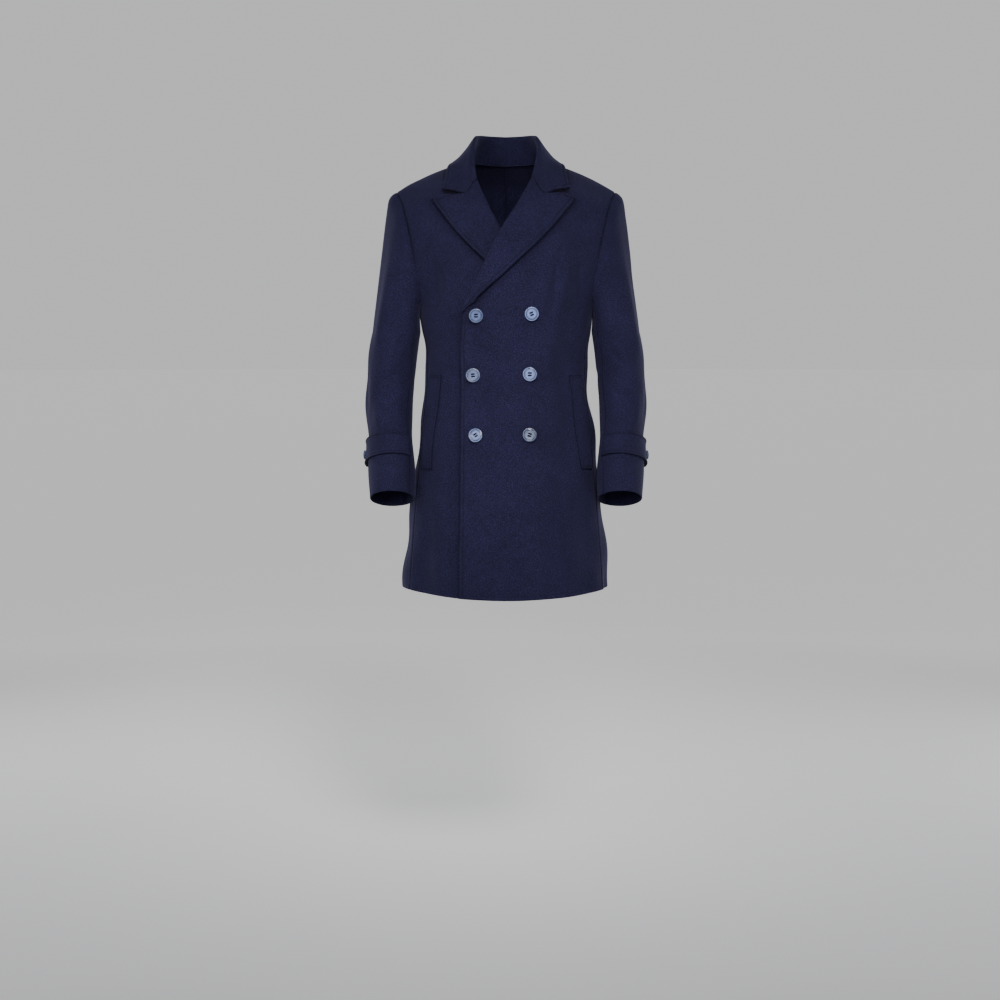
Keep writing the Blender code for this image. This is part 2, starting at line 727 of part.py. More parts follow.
def add_front_buttons(collection, cutters):
    for number, (x, z) in enumerate(BUTTON_PLACES, 1):
        surface = chest_point(x, z, 0)
        normal = (chest_point(x, z, 0.01) - surface).normalized()
        place = surface + normal * (overlap_lift(x, z) + BUTTON_SHANK)
        name = f"front_button_{number}"
        button = add_button(name, place, normal, BUTTON_RADIUS, BUTTON_HEIGHT, BUTTON_STEPS, collection)
        drill(button, BUTTON_RADIUS, BUTTON_HEIGHT, cutters)


def add_cuff_button(side, collection, cutters):
    normal = surface_normal(strap_point, CUFF_BUTTON_ANGLE, STRAP_HEIGHT, 0.5)
    place = strap_point(CUFF_BUTTON_ANGLE, STRAP_HEIGHT) + normal * BUTTON_SHANK
    place.x *= SIDES[side]
    normal.x *= SIDES[side]
    name = "cuff_button_" + side
    size = (CUFF_BUTTON_RADIUS, CUFF_BUTTON_HEIGHT)
    button = add_button(name, place, normal, *size, CUFF_BUTTON_STEPS, collection)
    drill(button, *size, cutters)


def oriented(grid, side):
    """Grid order whose faces point out of the coat on either side."""
    return grid if side == "left" else flip(grid)


def main():
    for obj in list(bpy.data.objects):
        bpy.data.objects.remove(obj, do_unlink=True)
    coat = bpy.data.collections.new(COAT)
    cutters = bpy.data.collections.new("cutters")
    for collection in (coat, cutters):
        bpy.context.scene.collection.children.link(collection)
    tree = body_tree()
    for side in SIDES:
        add_shell("front_" + side, oriented(front_grid(side), side), coat)
        add_shell("back_" + side, flip(oriented(back_grid(side), side)), coat)
        add_shell("lapel_" + side, oriented(lapel_grid(side), side), coat)
        top = sleeve_grid(side, FRONT_SEAM, BACK_SEAM - 360, SLEEVE_TOP_COLUMNS)
        under = sleeve_grid(side, BACK_SEAM, FRONT_SEAM, SLEEVE_UNDER_COLUMNS)
        add_shell("sleeve_top_" + side, flip(oriented(top, side)), coat)
        add_shell("sleeve_under_" + side, flip(oriented(under, side)), coat)
        add_shell("cuff_strap_" + side, flip(oriented(strap_grid(side), side)), coat)
        add_shell("pocket_welt_" + side, oriented(welt_grid(side), side), coat)
        add_cuff_button(side, coat, cutters)
    add_shell("collar", flip(collar_grid(tree)), coat)
    add_front_buttons(coat, cutters)


main()
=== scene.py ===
"""Double-breasted pea coat in navy melton, worn shape, hollow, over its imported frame.

It is laid out as a Blender add-on and run as a script. The front faces -Y and the wearer's left is +X.
Each cloth piece is a grid laid on the same surface as its solid, with seams, edges and soft creases.
"""

import math
from collections import namedtuple

import bpy
import numpy as np
from bpy.props import FloatProperty, FloatVectorProperty, PointerProperty
from mathutils import Matrix, Vector
from mathutils.bvhtree import BVHTree


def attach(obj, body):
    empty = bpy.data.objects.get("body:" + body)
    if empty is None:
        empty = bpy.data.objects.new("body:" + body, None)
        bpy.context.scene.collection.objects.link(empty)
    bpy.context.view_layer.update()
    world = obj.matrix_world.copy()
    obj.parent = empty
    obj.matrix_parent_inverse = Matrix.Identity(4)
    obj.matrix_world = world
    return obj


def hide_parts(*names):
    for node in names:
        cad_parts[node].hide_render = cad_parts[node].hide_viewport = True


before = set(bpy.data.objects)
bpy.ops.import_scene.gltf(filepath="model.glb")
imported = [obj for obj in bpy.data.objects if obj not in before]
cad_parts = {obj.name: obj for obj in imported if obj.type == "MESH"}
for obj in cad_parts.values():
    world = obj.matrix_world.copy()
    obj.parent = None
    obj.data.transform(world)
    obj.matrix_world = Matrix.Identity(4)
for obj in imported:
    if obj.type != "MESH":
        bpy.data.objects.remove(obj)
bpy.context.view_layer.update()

bl_info = {
    "name": "Pea Coat",
    "version": (1, 0, 0),
    "blender": (4, 5, 0),
    "location": "3D View > Sidebar > Pea Coat",
    "description": "Builds a worn, hollow double-breasted pea coat in wool melton",
    "category": "Add Mesh",
}

# Layers of cloth, as in the solids
SEAM_ALLOWANCE = 0.0030  # a piece reaches this far past its seam, turned in behind its neighbour
LAYER_GAP = 0.0008  # between a piece and the one it lies on
ROLL_SETBACK = 0.0024  # how far a front stops short of the fold of its lapel
ROLL_SETBACK_HEIGHT = (-0.320, -0.295)  # where that starts and where it is full
LAPEL_CLEAR = 0.0011  # between the flat of a lapel and the front beneath it
LAPEL_ROLL = 0.0014  # how much further a lapel stands off the chest
LAPEL_BELLY = 2.2  # how many times more it does so low down, where it rolls
LAPEL_SWELL = 0.0012  # how much the middle of a lapel stands out
LAPEL_LEAST = 0.004  # its least width, at the break
LAPEL_BEND = (0.62, 1.0)  # share of its height over which its lines turn into its top edge
CURL_START, CURL_END, CURL_POINTS = -20, 84, 32  # degrees round the front's edge behind a lapel
COLLAR_CURL = (-20, 10, 40, 70)
OVERLAP_SIDE = (0.099, 0.150)  # x and z over which the left front comes down from over the right one
OVERLAP_TOP = (-0.125, -0.060)
LAPEL_BREAK = (-0.345, -0.300)  # z over which the fronts part to pass over the right lapel
STITCH_BREAK = (-0.325, -0.300)  # z over which the stitching of a front's edge runs out
UNDERLAP_SINK = 0.0052  # how far the hidden edge of the right front lies back, over these x
UNDERLAP_SIDE = (-0.138, -0.091)
SIDES = {"left": 1, "right": -1}

# Rows of the body, from the hem to the shoulder seam: middle z and y, outer x, y and z, and degrees of wrap
OUTER_ROWS = (
    (0.1955, -0.0690, -0.866),
    (0.1900, -0.0640, -0.784),
    (0.1832, -0.0540, -0.697),
    (0.1760, -0.0465, -0.619),
    (0.1688, -0.0425, -0.540),
    (0.1604, -0.0365, -0.455),
    (0.1592, -0.0300, -0.390),
    (0.1700, -0.0190, -0.341),
    (0.1765, -0.0060, -0.306),
)
FRONT_LOWER = (
    (-0.878, -0.170, 66),
    (-0.790, -0.162, 67),
    (-0.700, -0.156, 70),
    (-0.620, -0.150, 72),
    (-0.540, -0.145, 73),
    (-0.455, -0.140, 75),
    (-0.390, -0.139, 78),
    (-0.340, -0.141, 82),
    (-0.300, -0.143, 86),
)
BACK_LOWER = (
    (-0.872, 0.165, 114),
    (-0.790, 0.155, 113),
    (-0.700, 0.145, 110),
    (-0.620, 0.136, 108),
    (-0.540, 0.122, 107),
    (-0.455, 0.108, 105),
    (-0.390, 0.108, 102),
    (-0.340, 0.114, 98),
    (-0.300, 0.121, 94),
)
FRONT_UPPER = (
    (-0.282, -0.143, 0.1735, -0.0350, -0.292, 75),
    (-0.250, -0.141, 0.1735, -0.0580, -0.262, 64),
    (-0.205, -0.135, 0.1800, -0.0670, -0.220, 56),
    (-0.150, -0.123, 0.1895, -0.0630, -0.170, 50),
    (-0.097, -0.106, 0.2010, -0.0460, -0.120, 44),
    (-0.046, -0.080, 0.2105, -0.0240, -0.084, 38),
)
BACK_UPPER = (
    (-0.278, 0.126, 0.1750, 0.0300, -0.290, 86),
    (-0.243, 0.132, 0.1765, 0.0560, -0.258, 78),
    (-0.195, 0.136, 0.1815, 0.0710, -0.215, 70),
    (-0.140, 0.134, 0.1895, 0.0730, -0.168, 62),
    (-0.085, 0.122, 0.2000, 0.0600, -0.120, 54),
    (-0.034, 0.096, 0.2100, 0.0380, -0.084, 44),
)
SHOULDER_ROW = (0.008, 0.018, 0.2215, 0.0060, -0.062, 30)
UNDERARM = 8
SHOULDER = 15
Z_MID, Y_MID, X_OUT, Y_OUT, Z_OUT, WRAP = range(6)
NECK_HALF_WIDTH = 0.0745
NECK_DROP = 0.46  # rows by which the neck dips below the shoulder at the middle of the back
ARMHOLE_LOW = (-0.330, -0.306)  # z between which a panel's armhole faces the sleeve
ARMHOLE_HIGH = (-0.225, -0.165)
NORMAL_STEP = 0.01  # share or rows on each side of a place over which the body's normal is measured
SETTLING = 8  # rounds in which a place and the height that it depends on settle
HALVINGS = 26  # of the range in which a place is looked for

# How far each front runs past the middle: height, left, right
FRONT_REACH = (
    (-0.900, 0.0930, 0.0930),
    (-0.600, 0.0905, 0.0905),
    (-0.340, 0.0880, 0.0870),
    (-0.303, 0.0812, 0.0800),
    (-0.280, 0.0708, 0.0690),
    (-0.236, 0.0496, 0.0415),
    (-0.205, 0.0353, 0.0230),
    (-0.142, 0.0059, -0.0136),
    (-0.097, -0.0225, -0.0376),
    (-0.053, -0.0455, -0.0562),
    (-0.028, -0.0571, -0.0655),
    (0.002, -0.0665, -0.0706),
    (0.030, -0.0720, -0.0735),
)

# Outer edge of each lapel below its peak: height, left, right
LAPEL_EDGE = (
    (-0.3020, -0.0800, -0.0780),
    (-0.2950, -0.0745, -0.0680),
    (-0.2860, -0.0602, -0.0500),
    (-0.2720, -0.0495, -0.0350),
    (-0.2440, -0.0194, -0.0020),
    (-0.2070, 0.0201, 0.0375),
    (-0.1650, 0.0640, 0.0805),
    (-0.1180, 0.1070, 0.1215),
    (-0.0790, 0.1368, 0.1480),
)
COLUMN = {"left": 1, "right": 2}
Corner = namedtuple("Corner", "x z")
GORGE_HEIGHT = {"left": -0.0400, "right": -0.0455}
NOTCH = {"left": Corner(0.0714, -0.0706), "right": Corner(0.0799, -0.0714)}
GORGE_GAP = 0.0011
NOTCH_OPENING = 0.0020  # how much the lower edge of the leaf bows up
LEAF_TIP = {"left": Corner(0.1260, -0.0606), "right": Corner(0.1268, -0.0632)}
NOTCH_SHARE = 0.4  # of the lapel's width at the notch
LAPEL_BOW = {"left": 0.0055, "right": 0.0020}  # how much the lapel's top edge bows up

# The collar from the middle of the back to its front end: seam, fold and free edge
COLLAR_ROWS = (
    (0.0000, 0.0780, -0.006, 0.0000, 0.0690, 0.050, 0.0000, 0.1010, -0.024),
    (0.0330, 0.0710, -0.005, 0.0300, 0.0610, 0.051, 0.0440, 0.0960, -0.023),
    (0.0590, 0.0460, -0.001, 0.0510, 0.0370, 0.051, 0.0840, 0.0745, -0.0175),
    (0.0705, 0.0140, 0.002, 0.0590, 0.0080, 0.046, 0.1095, 0.0300, -0.007),
    (0.0700, -0.0130, -0.001, 0.0620, -0.0180, 0.026, 0.1170, -0.0200, -0.014),
    (0.0650, -0.0400, -0.012, 0.0610, -0.0420, 0.002, 0.1230, -0.0530, -0.032),
    (0.0570, -0.0660, -0.032, 0.0545, -0.0705, -0.0300, 0.1280, -0.0800, -0.0546),
)
FOLD_RADIUS = 0.0042
FOLD_RADIUS_FRONT = 0.0028  # where the stand runs out
FALL_SAG = 0.003  # the fall is a little hollow between its fold and its edge
COLLAR_BLEND = 2.2  # rows from its front end over which the collar takes on that end's line
COLLAR_HALF = 44  # lines from the middle of the back to each front end
COLLAR_SHOWN = (0.40, 0.52)  # share of the way across the collar where it comes into view, past the fold
LEAF_START = (0.60, 0.68)  # and where the gorge seam ends and the free leaf begins

# The sleeve below the underarm: middle, half sizes and the lean of each ring in degrees
SLEEVE_RINGS = (
    (0.2228, 0.004, -0.345, 0.0489, 0.0735, 0),
    (0.2322, 0.006, -0.400, 0.0485, 0.0715, 2),
    (0.2360, 0.003, -0.455, 0.0475, 0.0685, 6),
    (0.2365, -0.008, -0.510, 0.0470, 0.0650, 12),
    (0.2350, -0.028, -0.565, 0.0468, 0.0600, 18),
    (0.2320, -0.051, -0.620, 0.0466, 0.0550, 21),
    (0.2290, -0.077, -0.680, 0.0460, 0.0505, 22),
)
CUFF = len(SLEEVE_RINGS)
FRONT_SEAM = 140  # degrees round the sleeve from its outer side to the front
BACK_SEAM = 240
CAP_FULLNESS = 0.0160  # how far the sleeve head stands out from a straight line
CAP_CURVE = 0.035  # share of the upper sleeve in which its head rises from the seam
CAP_OUT = (0.25, 0.55)  # how far its fullness leans out, and forward or back
ROPE_OUT = (0.3, 0, 1)
CAP_PLAIN = (0, 0.35)  # share of the upper sleeve over which its creases and waves begin
ROPE_HEIGHT = 0.0035  # ridge along the top of the sleeve head
ROPE_PLACE = 0.05  # share of the upper sleeve at the ridge, and the ridge's half width
ROPE_SPREAD = 0.06
ARMHOLE_FACING = (75, 125)  # degrees from the shoulder over which the armhole comes to face the body
CUFF_PLAIN = (6.2, 7.0)  # height over which the creases die down to the cuff
STRAP_WIDTH = 0.047
STRAP_LIFT = 0.006  # how far the pointed end stands off the sleeve, and the share of the strap over which
STRAP_RISE = (0.60, 0.95)
STRAP_TIP = 0.04  # share of the strap's width left at its point
STRAP_HEIGHT = 5.38
STRAP_POINT = -48  # degrees round the sleeve at the strap's tip
STRAP_START = 3  # degrees between the front seam and the strap's end
STRAP_STRAIGHT = 0.90  # share of the strap before its point
RING_STEP = 0.057  # length of the lower sleeve between two rings
SLEEVE_SCALE = (math.radians(1) * 0.058, RING_STEP)  # metres for a degree round the sleeve and for a ring
SLEEVE_WRAP = 215  # degrees beyond which a place is reached from the other side too
CUFF_BUTTON_ANGLE = -24

WELT_TOP = Corner(0.1285, -0.4310)
WELT_BOTTOM = Corner(0.1480, -0.6210)
WELT_WIDTH = 0.0225

BUTTON_PLACES = (  # x and z, in pairs from the top
    (-0.0575, -0.3116),
    (0.0484, -0.3078),
    (-0.0644, -0.4308),
    (0.0452, -0.4282),
    (-0.0594, -0.5500),
    (0.0450, -0.5488),
)
BUTTON_RADIUS = 0.0146
BUTTON_HEIGHT = 0.0045
CUFF_BUTTON_RADIUS = 0.0095
CUFF_BUTTON_HEIGHT = 0.0038
BUTTON_SHANK = 0.0018  # clear space between a button and its cloth
BUTTON_TURN = (0, 20, 8, 0, 35, -15)  # degrees that each front button is turned
BUTTON_TONE = (0.84, 1.26, 0.74, 1.20, 1.04, 0.52)  # how pale each one is
CUFF_BUTTON_TONE = 0.8
# The turned face of a button from its edge inwards: each step's width as a share of the radius, and its rise
# as a share of the height
BUTTON_PROFILE = (
    (0.020, 0.10),
    (0.035, 0.09),
    (0.050, 0.06),
    (0.065, 0.01),
    (0.035, -0.07),
    (0.025, -0.20),
    (0.035, -0.02),
    (0.025, 0.14),
    (0.035, 0.02),
    (0.045, -0.01),
    (0.035, -0.20),
    (0.035, -0.01),
    (0.030, 0.10),
    (0.090, 0.00),
)
BUTTON_EDGE = 0.72  # share of the height that the plain edge takes up
BUTTON_BACK = 0.84  # share of the radius left at the back
FACE_HEIGHT = 0.2  # in radii: above this a point belongs to the face
SHARP_ANGLE = 32  # degrees from which an edge of a button stays sharp
# The turned rings, the rim, the holes and the thread, as shares of the radius, and the share of the tone left
# in rings and rim by painted shade
BUTTON_RINGS = ((0.73, 0.815), (0.585, 0.665))
RING_PAINTED_SHADE = 0.02
RIM_PAINTED_SHADOW = 0.06
RIM_PLACE = 0.93
HOLE_REACH = 0.165  # how far the middle of a hole is from both middle lines
HOLE_RADIUS = 0.120
BAR_LENGTH = 1.40  # half length of a bar of thread, as a share of the reach to its holes
BAR_SIZES = (0.062, 0.050)  # its half width and half height, and how far two bars are apart
BAR_GAP = 0.10
BAR_HEIGHT = 0.90  # as a share of the button's
SHANK_RADIUS = 0.27

# Soft creases: start, middle and end, half width and height, a trough where the height is negative.
# On the fronts and backs the places are x and z, with the wearer's left as +x.
FRONT_CREASES = (
    (0.104, -0.195, 0.095, -0.252, 0.086, -0.318, 0.010, -0.0050),
    (0.127, -0.185, 0.117, -0.250, 0.111, -0.330, 0.013, 0.0022),
    (0.143, -0.205, 0.149, -0.260, 0.147, -0.325, 0.010, -0.0030),
    (-0.152, -0.195, -0.143, -0.245, -0.138, -0.318, 0.012, -0.0028),
    (-0.126, -0.205, -0.119, -0.262, -0.116, -0.335, 0.013, 0.0019),
    (-0.081, -0.3370, -0.060, -0.3390, -0.038, -0.3355, 0.0035, -0.0012),
    (-0.074, -0.3450, -0.056, -0.3475, -0.036, -0.3450, 0.0050, 0.0008),
    (0.118, -0.240, 0.120, -0.430, 0.116, -0.680, 0.024, -0.0052),
    (0.058, -0.320, 0.060, -0.480, 0.056, -0.660, 0.020, 0.0012),
    (0.104, -0.370, 0.108, -0.408, 0.100, -0.458, 0.013, -0.0014),
    (0.066, -0.590, 0.069, -0.700, 0.062, -0.830, 0.020, 0.0020),
    (0.084, -0.690, 0.080, -0.770, 0.087, -0.868, 0.018, -0.0026),
    (-0.106, -0.350, -0.101, -0.470, -0.104, -0.640, 0.011, -0.0020),
    (-0.125, -0.520, -0.128, -0.640, -0.124, -0.780, 0.017, 0.0018),
    (-0.110, -0.700, -0.106, -0.780, -0.112, -0.868, 0.015, -0.0022),
    (0.020, -0.395, -0.006, -0.402, -0.040, -0.396, 0.011, -0.0010),
    (-0.030, -0.640, -0.026, -0.740, -0.034, -0.860, 0.022, -0.0016),
    (0.152, -0.660, 0.158, -0.740, 0.155, -0.860, 0.015, -0.0020),
    (-0.156, -0.690, -0.160, -0.770, -0.163, -0.862, 0.014, -0.0018),
)
BACK_CREASES = (
    (0.150, -0.150, 0.138, -0.215, 0.140, -0.300, 0.013, -0.0034),
    (0.128, -0.170, 0.116, -0.240, 0.118, -0.320, 0.016, 0.0024),
    (-0.147, -0.140, -0.137, -0.205, -0.135, -0.285, 0.012, -0.0032),
    (-0.122, -0.180, -0.112, -0.245, -0.117, -0.340, 0.017, 0.0022),
    (0.060, -0.395, 0.030, -0.408, -0.010, -0.404, 0.013, -0.0020),
    (-0.075, -0.420, -0.040, -0.430, 0.012, -0.428, 0.012, -0.0016),
    (0.092, -0.450, 0.088, -0.580, 0.096, -0.730, 0.018, -0.0030),
    (-0.086, -0.480, -0.092, -0.620, -0.084, -0.770, 0.020, -0.0027),
    (0.050, -0.600, 0.055, -0.720, 0.049, -0.865, 0.022, 0.0024),
    (-0.047, -0.640, -0.052, -0.760, -0.044, -0.868, 0.020, 0.0020),
    (0.140, -0.620, 0.150, -0.720, 0.146, -0.860, 0.017, -0.0022),
    (-0.138, -0.590, -0.149, -0.710, -0.142, -0.850, 0.016, -0.0025),
    (0.010, -0.060, 0.045, -0.075, 0.090, -0.070, 0.012, -0.0012),
)
# On the sleeves the places are degrees round the sleeve and height from the armhole to the cuff.
SLEEVE_CREASES = {
    "left": (
        (-2, 0.06, -8, 0.22, -14, 0.46, 0.0045, -0.0030),
        (6, 0.55, -3, 0.80, -12, 1.35, 0.0050, -0.0030),
        (48, 0.35, 38, 1.10, 44, 2.10, 0.014, 0.0026),
        (84, 0.50, 78, 1.20, 72, 2.20, 0.011, -0.0026),
        (112, 1.60, 92, 2.20, 70, 2.50, 0.009, -0.0030),
        (124, 2.30, 98, 2.80, 66, 3.00, 0.008, -0.0026),
        (120, 3.10, 96, 3.40, 72, 3.75, 0.009, -0.0022),
        (60, 3.20, 52, 3.90, 55, 4.70, 0.012, 0.0018),
        (20, 2.90, 14, 3.70, 18, 4.60, 0.011, -0.0018),
        (-40, 1.20, -48, 2.20, -44, 3.30, 0.013, -0.0028),
        (-78, 0.60, -84, 1.60, -80, 2.60, 0.014, 0.0024),
        (200, 0.60, 196, 1.60, 204, 2.80, 0.012, -0.0026),
        (170, 2.40, 190, 2.90, 214, 3.10, 0.009, -0.0024),
    ),
    "right": (
        (-6, 0.10, -12, 0.34, -10, 0.70, 0.0050, -0.0022),
        (52, 0.30, 44, 1.00, 50, 1.90, 0.013, 0.0022),
        (88, 0.40, 82, 1.10, 80, 2.00, 0.012, -0.0024),
        (118, 1.30, 96, 1.75, 74, 1.95, 0.009, -0.0024),
        (122, 2.45, 100, 2.75, 62, 3.05, 0.009, -0.0030),
        (112, 3.20, 90, 3.65, 70, 3.80, 0.008, -0.0020),
        (64, 3.60, 58, 4.20, 60, 4.80, 0.012, 0.0016),
        (14, 2.40, 20, 3.30, 12, 4.30, 0.012, -0.0020),
        (-46, 1.00, -40, 2.10, -50, 3.00, 0.014, -0.0026),
        (-82, 0.80, -76, 1.80, -84, 2.90, 0.014, 0.0022),
        (196, 0.70, 202, 1.80, 198, 2.70, 0.012, -0.0024),
        (172, 2.70, 194, 3.05, 216, 3.35, 0.009, -0.0022),
    ),
}

CREASE_STEPS = 16  # straight stretches that stand for the curve of a crease
CREASE_START = (0, 0.28)  # share of a crease over which it rises, and over which it dies out
CREASE_END = (0.66, 1)

# Waves: how long and how high each long, shallow wave over the cloth is, its direction and its phase
WAVES = (
    (0.145, 0.0009, 12, 0.3),
    (0.190, 0.0011, 74, 1.9),
    (0.105, 0.0006, 128, 4.1),
    (0.078, 0.0004, 41, 2.6),
    (0.062, 0.0003, 160, 5.2),
)

# The relief of a panel: its creases, the heights over which it fades out to the shoulder and over which the
# hem's part of it comes in, the height, length and phase of the hem's ripple, and the strength of the waves,
# everywhere and at the hem, with how far aside they are taken
Relief = namedtuple("Relief", "creases top hem height length phase waves hem_waves aside")
FRONT_RELIEF = Relief(FRONT_CREASES, (-0.130, -0.060), (-0.700, -0.880), 0.0016, 0.115, 0.9, 0.6, 0.6, 0.0)
BACK_RELIEF = Relief(BACK_CREASES, (-0.100, -0.020), (-0.650, -0.872), 0.0030, 0.135, 2.2, 1.3, 0.0, 0.4)

EDGE_ROUND = 0.0010
EDGE_FADE = 0.030  # width over which creases begin, in from the side seams
STITCH_PAINTED_SHADE = 0.25  # painted shade: how much darker the cloth is painted in the valley of its stitching
TURNED_EDGE_PAINTED_SHADE = 0.62  # and painted shade where it turns in at an edge or seam
LAPPED_PAINTED_SHADOW = 0.36  # painted shadow beside an edge that laps over it
LAPPED_PAINTED_SHADOW_FADES = ((0.7, 0.0080), (0.3, 0.0350))  # parts of that painted shadow, and how fast each fades away
LAPEL_PAINTED_SHADOW = 0.60  # painted shadow beside the outer edge of a lapel
LEAF_PAINTED_SHADOW = 0.82  # painted shadow under the leaf of the collar
PAINTED_SHADOW_REACH = 0.0060  # how fast the last two painted shadows fade away
LAPEL_SLANT = 0.7  # share of a distance along x that is square to the lapel's edge
# How far a free edge stands off the layer beneath, and the width over which that fades
FRONT_LIFT = (0.0015, 0.024)
LEAF_LIFT = (0.0020, 0.035)  # of the collar and of a lapel's outer edge
PEAK_LIFT = (0.0016, 0.030)
STRAP_LIFTS = {"high": (0.0014, 0.014), "low": (0.0006, 0.014)}
# Mesh steps in from a border, in millimetres
FINE_STEPS = (0, 0.2, 0.5, 0.8, 1.1, 1.7, 2.6, 3.8, 5.0, 6.2, 7.1, 7.6, 8.0, 8.4, 8.9, 9.8, 11.5, 14.0)
NARROW_STEPS = (0, 0.2, 0.5, 0.8, 1.1, 1.8, 2.8, 4.2, 5.8)
SEAM_STEPS = (0, 1.2, 2.2, 2.8, 3.0, 3.2, 3.5, 3.8, 4.1, 4.8, 5.8, 7.2, 8.8)  # the same, past the allowance
MM = 0.001
# Rows and columns of the dense grid from which each sheet is spaced
FRONT_DENSE = (521, 261)
BACK_DENSE = (521, 241)
SLEEVE_DENSE = (81, 361, 261)  # rows of the cap, rows below it and columns
COLLAR_DENSE = (121, 401)
LAPEL_DENSE = (301, 161)
STRAP_DENSE = (81, 361)
WELT_DENSE = (241, 61)
BODY_DENSE = 81  # rows and columns of each half of the body under the collar

# The low relief by a border
EDGE_PADDING = (0.00060, 0.5, 0.28)  # its height, and its middle and width as shares of the inset
STITCH_VALLEY = (0.00090, 0.0012)  # depth and width
SEAM_VALLEY = (0.0007, 0.0021)
SEAM_RIDGE = (0.0003, 0.0052, 0.0026)  # height, middle and width
STITCH_TOP = -0.307  # z below which the front's edge is stitched
STITCH_PITCH = 1.22  # stitch lengths from one stitch to the next
STITCH_RISE = 0.00003  # of the middle of the thread over the cloth
WELT_EDGE_INSET = 0.0018  # of the row of stitching beside the ends of a welt

CLOTH_COLOUR = "#151428"
CLOTH_LIGHT_COLOUR = "#322E57"
CLOTH_DARK_COLOUR = "#090812"
BUTTON_COLOUR = "#6473A0"
THREAD_COLOUR = "#0C0B17"
SHEEN_COLOUR = "#8F8AB8"
FLOOR_COLOUR = "#FCFCFC"
FLOOR_GLOW = 0.30
GLOW_REACH = (1.6, 5.0)  # metres from the coat: where the glow starts, and where it is full

CAMERA_EYE = Vector((-0.0123, -5.0, -0.32))
CAMERA_AIM = Vector((-0.0123, 0.0, -0.6888))
VIEW_WIDTH = 2.05
FLOOR_HEIGHT = -1.62
FLOOR_RADIUS = 60
# Name, place, aim, size, watts, colour and degrees of spread
LIGHTS = (
    ("key_softbox", (0.5, -4.5, 1.5), (0, 0, -0.50), (0.9, 0.9), 4.3, (1.0, 0.98, 0.97), 20),
    ("fill_softbox", (-2.0, -3.8, 0.3), (0, 0, -0.50), (1.2, 1.2), 2.4, (0.97, 0.98, 1.0), 28),
    ("rim_left", (-2.6, 2.2, 0.9), (0, 0, -0.4), (1.2, 2.6), 38, (0.95, 0.97, 1.0), 160),
    ("rim_right", (2.6, 2.2, 0.9), (0, 0, -0.4), (1.2, 2.6), 38, (0.95, 0.97, 1.0), 160),
)
SKY_COLOUR = (0.98, 0.98, 1.0, 1.0)
SKY = ((0.13, 0.63), (0.20, 0.80), (0.34, 0.72), (0.70, 0.20))  # brightness at heights above the horizon


def linear(text):
    """A colour written as sRGB hex, as linear RGBA."""
    values = [int(text[i:i + 2], 16) / 255 for i in (1, 3, 5)]
    return tuple(v / 12.92 if v <= 0.04045 else ((v + 0.055) / 1.055) ** 2.4 for v in values) + (1.0,)


def smoothstep(low, high, value):
    share = np.clip((value - low) / (high - low), 0, 1)
    return share * share * (3 - 2 * share)


def bell(value, middle, width):
    return np.exp(-((value - middle) / width) ** 2)


def shares(rows, columns):
    """Even shares from 0 to 1 up the rows and along the columns of a grid."""
    return np.linspace(0, 1, rows)[:, None], np.linspace(0, 1, columns)[None, :]


def running_length(points):
    """How far along a line each of its points is."""
    return np.concatenate([[0], np.cumsum(np.linalg.norm(np.diff(points[:, :3], axis=0), axis=1))])


# ---- Surfaces -------------------------------------------------------------------------------------------


def body_rows(lower, upper, beyond):
    """The whole table of one side of the body, with the first row of the other side past the shoulder."""
    rows = [(z, y) + outer + (wrap,) for (z, y, wrap), outer in zip(lower, OUTER_ROWS)]
    return np.array(rows + list(upper) + [SHOULDER_ROW, beyond])


FRONT_ROWS = body_rows(FRONT_LOWER, FRONT_UPPER, BACK_UPPER[-1])
BACK_ROWS = body_rows(BACK_LOWER, BACK_UPPER, FRONT_UPPER[-1])


def cubic(start, end, slope_start, slope_end, share):
    """A smooth run from start to end that leaves and arrives at the slopes."""
    bend = 3 * (end - start) - 2 * slope_start - slope_end
    twist = 2 * (start - end) + slope_start + slope_end
    return start + share * (slope_start + share * (bend + share * twist))


def rows_at(table, place, corner=None):
    """Rows of a table at fractional places, on a smooth curve that may turn a corner in its outer ends."""
    table = np.asarray(table, float)
    place = np.asarray(place, float)
    last = len(table) - 1
    first = np.clip(np.floor(place).astype(int), 0, last - 1)
    share = (place - first)[..., None]
    before, here = table[np.maximum(first - 1, 0)], table[first]
    there, after = table[first + 1], table[np.minimum(first + 2, last)]
    if corner is not None:
        outer = np.isin(np.arange(table.shape[1]), (X_OUT, Y_OUT, Z_OUT))
        before = np.where((first == corner)[..., None] & outer, 2 * here - there, before)
        after = np.where((first + 1 == corner)[..., None] & outer, 2 * there - here, after)
    return cubic(here, there, (there - before) / 2, (after - here) / 2, share)


def value_at(table, height, column):
    """One column of a table against its first column, smooth between the rows and level beyond them."""
    table = np.asarray(table, float)
    heights, values = table[:, 0], table[:, column]
    slopes = np.empty(len(values))
    slopes[1:-1] = (values[2:] - values[:-2]) / (heights[2:] - heights[:-2])
    slopes[0] = (values[1] - values[0]) / (heights[1] - heights[0])
    slopes[-1] = (values[-1] - values[-2]) / (heights[-1] - heights[-2])
    height = np.clip(height, heights[0], heights[-1])
    first = np.clip(np.searchsorted(heights, height, side="right") - 1, 0, len(values) - 2)
    span = heights[first + 1] - heights[first]
    share = (height - heights[first]) / span
    return cubic(values[first], values[first + 1], slopes[first] * span, slopes[first + 1] * span, share)


